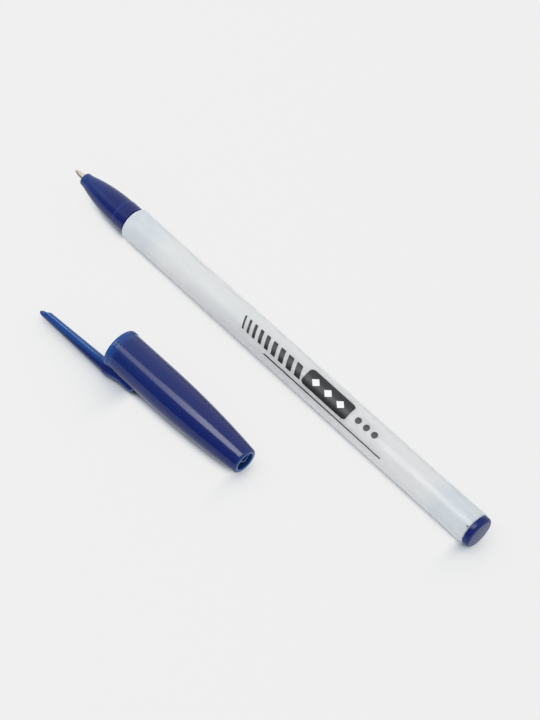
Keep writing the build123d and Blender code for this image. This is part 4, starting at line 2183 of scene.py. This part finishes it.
    def _build_camera(self) -> None:
        """Camera at the photograph's viewing angle."""
        lens = bpy.data.cameras.new("photo_view")
        lens.lens = self.lens
        lens.sensor_width = self.sensor
        lens.sensor_fit = "AUTO"
        lens.clip_start = self.clip_start
        camera = bpy.data.objects.new("photo_view", lens)
        bpy.context.scene.collection.objects.link(camera)
        turn, rise = math.radians(self.azimuth), math.radians(self.elevation)
        back = Vector((math.sin(turn) * math.cos(rise), -math.cos(turn) * math.cos(rise), math.sin(rise)))
        camera.location = Vector(self.target) + back * self.distance
        camera.rotation_mode = "QUATERNION"
        camera.rotation_quaternion = (-back).to_track_quat("-Z", "Y")
        bpy.context.scene.camera = camera


def dress_pen(places: PenPlaces, effects: SharedEffects) -> list[bpy.types.Object]:
    """Builds and dresses the pen itself.

    Args:
        places: Own frames and end points.
        effects: Shared shader groups.

    Returns:
        The finished pieces.
    """
    milky = MilkyPlastic(
        front=places.barrel_front * MM,
        rear=places.barrel_rear * MM,
        front_reach=(places.spigot_end - places.barrel_front) * MM,
        rear_reach=(places.barrel_rear - places.plug_front) * MM,
        name="milky_white_plastic",
    ).build(effects)
    blue = TintedPlastic(name="blue_pen_plastic").build(effects)
    plug_blue = TintedPlastic(name="blue_plug_plastic", roughness=0.2, specular=0.2)
    black = PrintInk(
        name="black_print", colour=(0.012, 0.012, 0.014, 1.0), worn_colour=(0.03, 0.03, 0.034, 1.0)
    )
    white = PrintInk(
        name="white_print", colour=(0.78, 0.8, 0.81, 1.0), worn_colour=(0.62, 0.64, 0.66, 1.0)
    )
    dark, light = BarrelPrint(places).build()
    unit = WritingUnit(places)
    point_metal = TurnedMetal(name="point_metal", colour=(0.8, 0.74, 0.63, 1.0), roughness=0.22)
    ball_metal = TurnedMetal(name="ball_metal", colour=(0.58, 0.58, 0.6, 1.0), roughness=0.12)
    ball = places.nodes["writing_ball"]
    return [
        dress(Barrel(places).build(), milky),
        dress(dark, black.build(effects)),
        dress(light, white.build(effects)),
        dress(unit.build_nose(), blue),
        dress(unit.build_tip(), point_metal.build(effects)),
        dress(ball, ball_metal.build(effects)),
        dress(unit.build_tube(), ClearTube().build(effects)),
        dress(unit.build_ink(), WetInk().build(effects)),
        dress(EndPlug(places).build(), plug_blue.build(effects)),
    ]


def dress_cap(places: PenPlaces, effects: SharedEffects) -> list[bpy.types.Object]:
    """Builds and dresses the cap with its clip.

    Args:
        places: Own frames and end points.
        effects: Shared shader groups.

    Returns:
        The finished pieces.
    """
    blue = TintedPlastic(name="blue_cap_plastic").build(effects)
    # The frosted plastic's lighter colour also paints the highlight line along the arm's inner edges.
    frosted = TintedPlastic(
        name="frosted_clip_plastic", thin=(0.13, 0.27, 0.59, 1.0), roughness=0.5, specular=0.03
    )
    cap = Cap(places)
    clip = Clip(places)
    return [
        dress(cap.build_shell(), blue),
        dress(cap.build_rib(), blue),
        clip.frost(dress(clip.build(), blue), frosted.build(effects)),
    ]


def main() -> None:
    """Builds the pen, its cap and the studio around them."""
    logging.basicConfig(level=logging.INFO, format="%(name)s %(message)s")
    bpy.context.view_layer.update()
    places = PenPlaces(frame)
    effects = SharedEffects()
    for piece in dress_pen(places, effects) + dress_cap(places, effects):
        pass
    Studio(places).build()


if __name__ == "__main__":
    main()
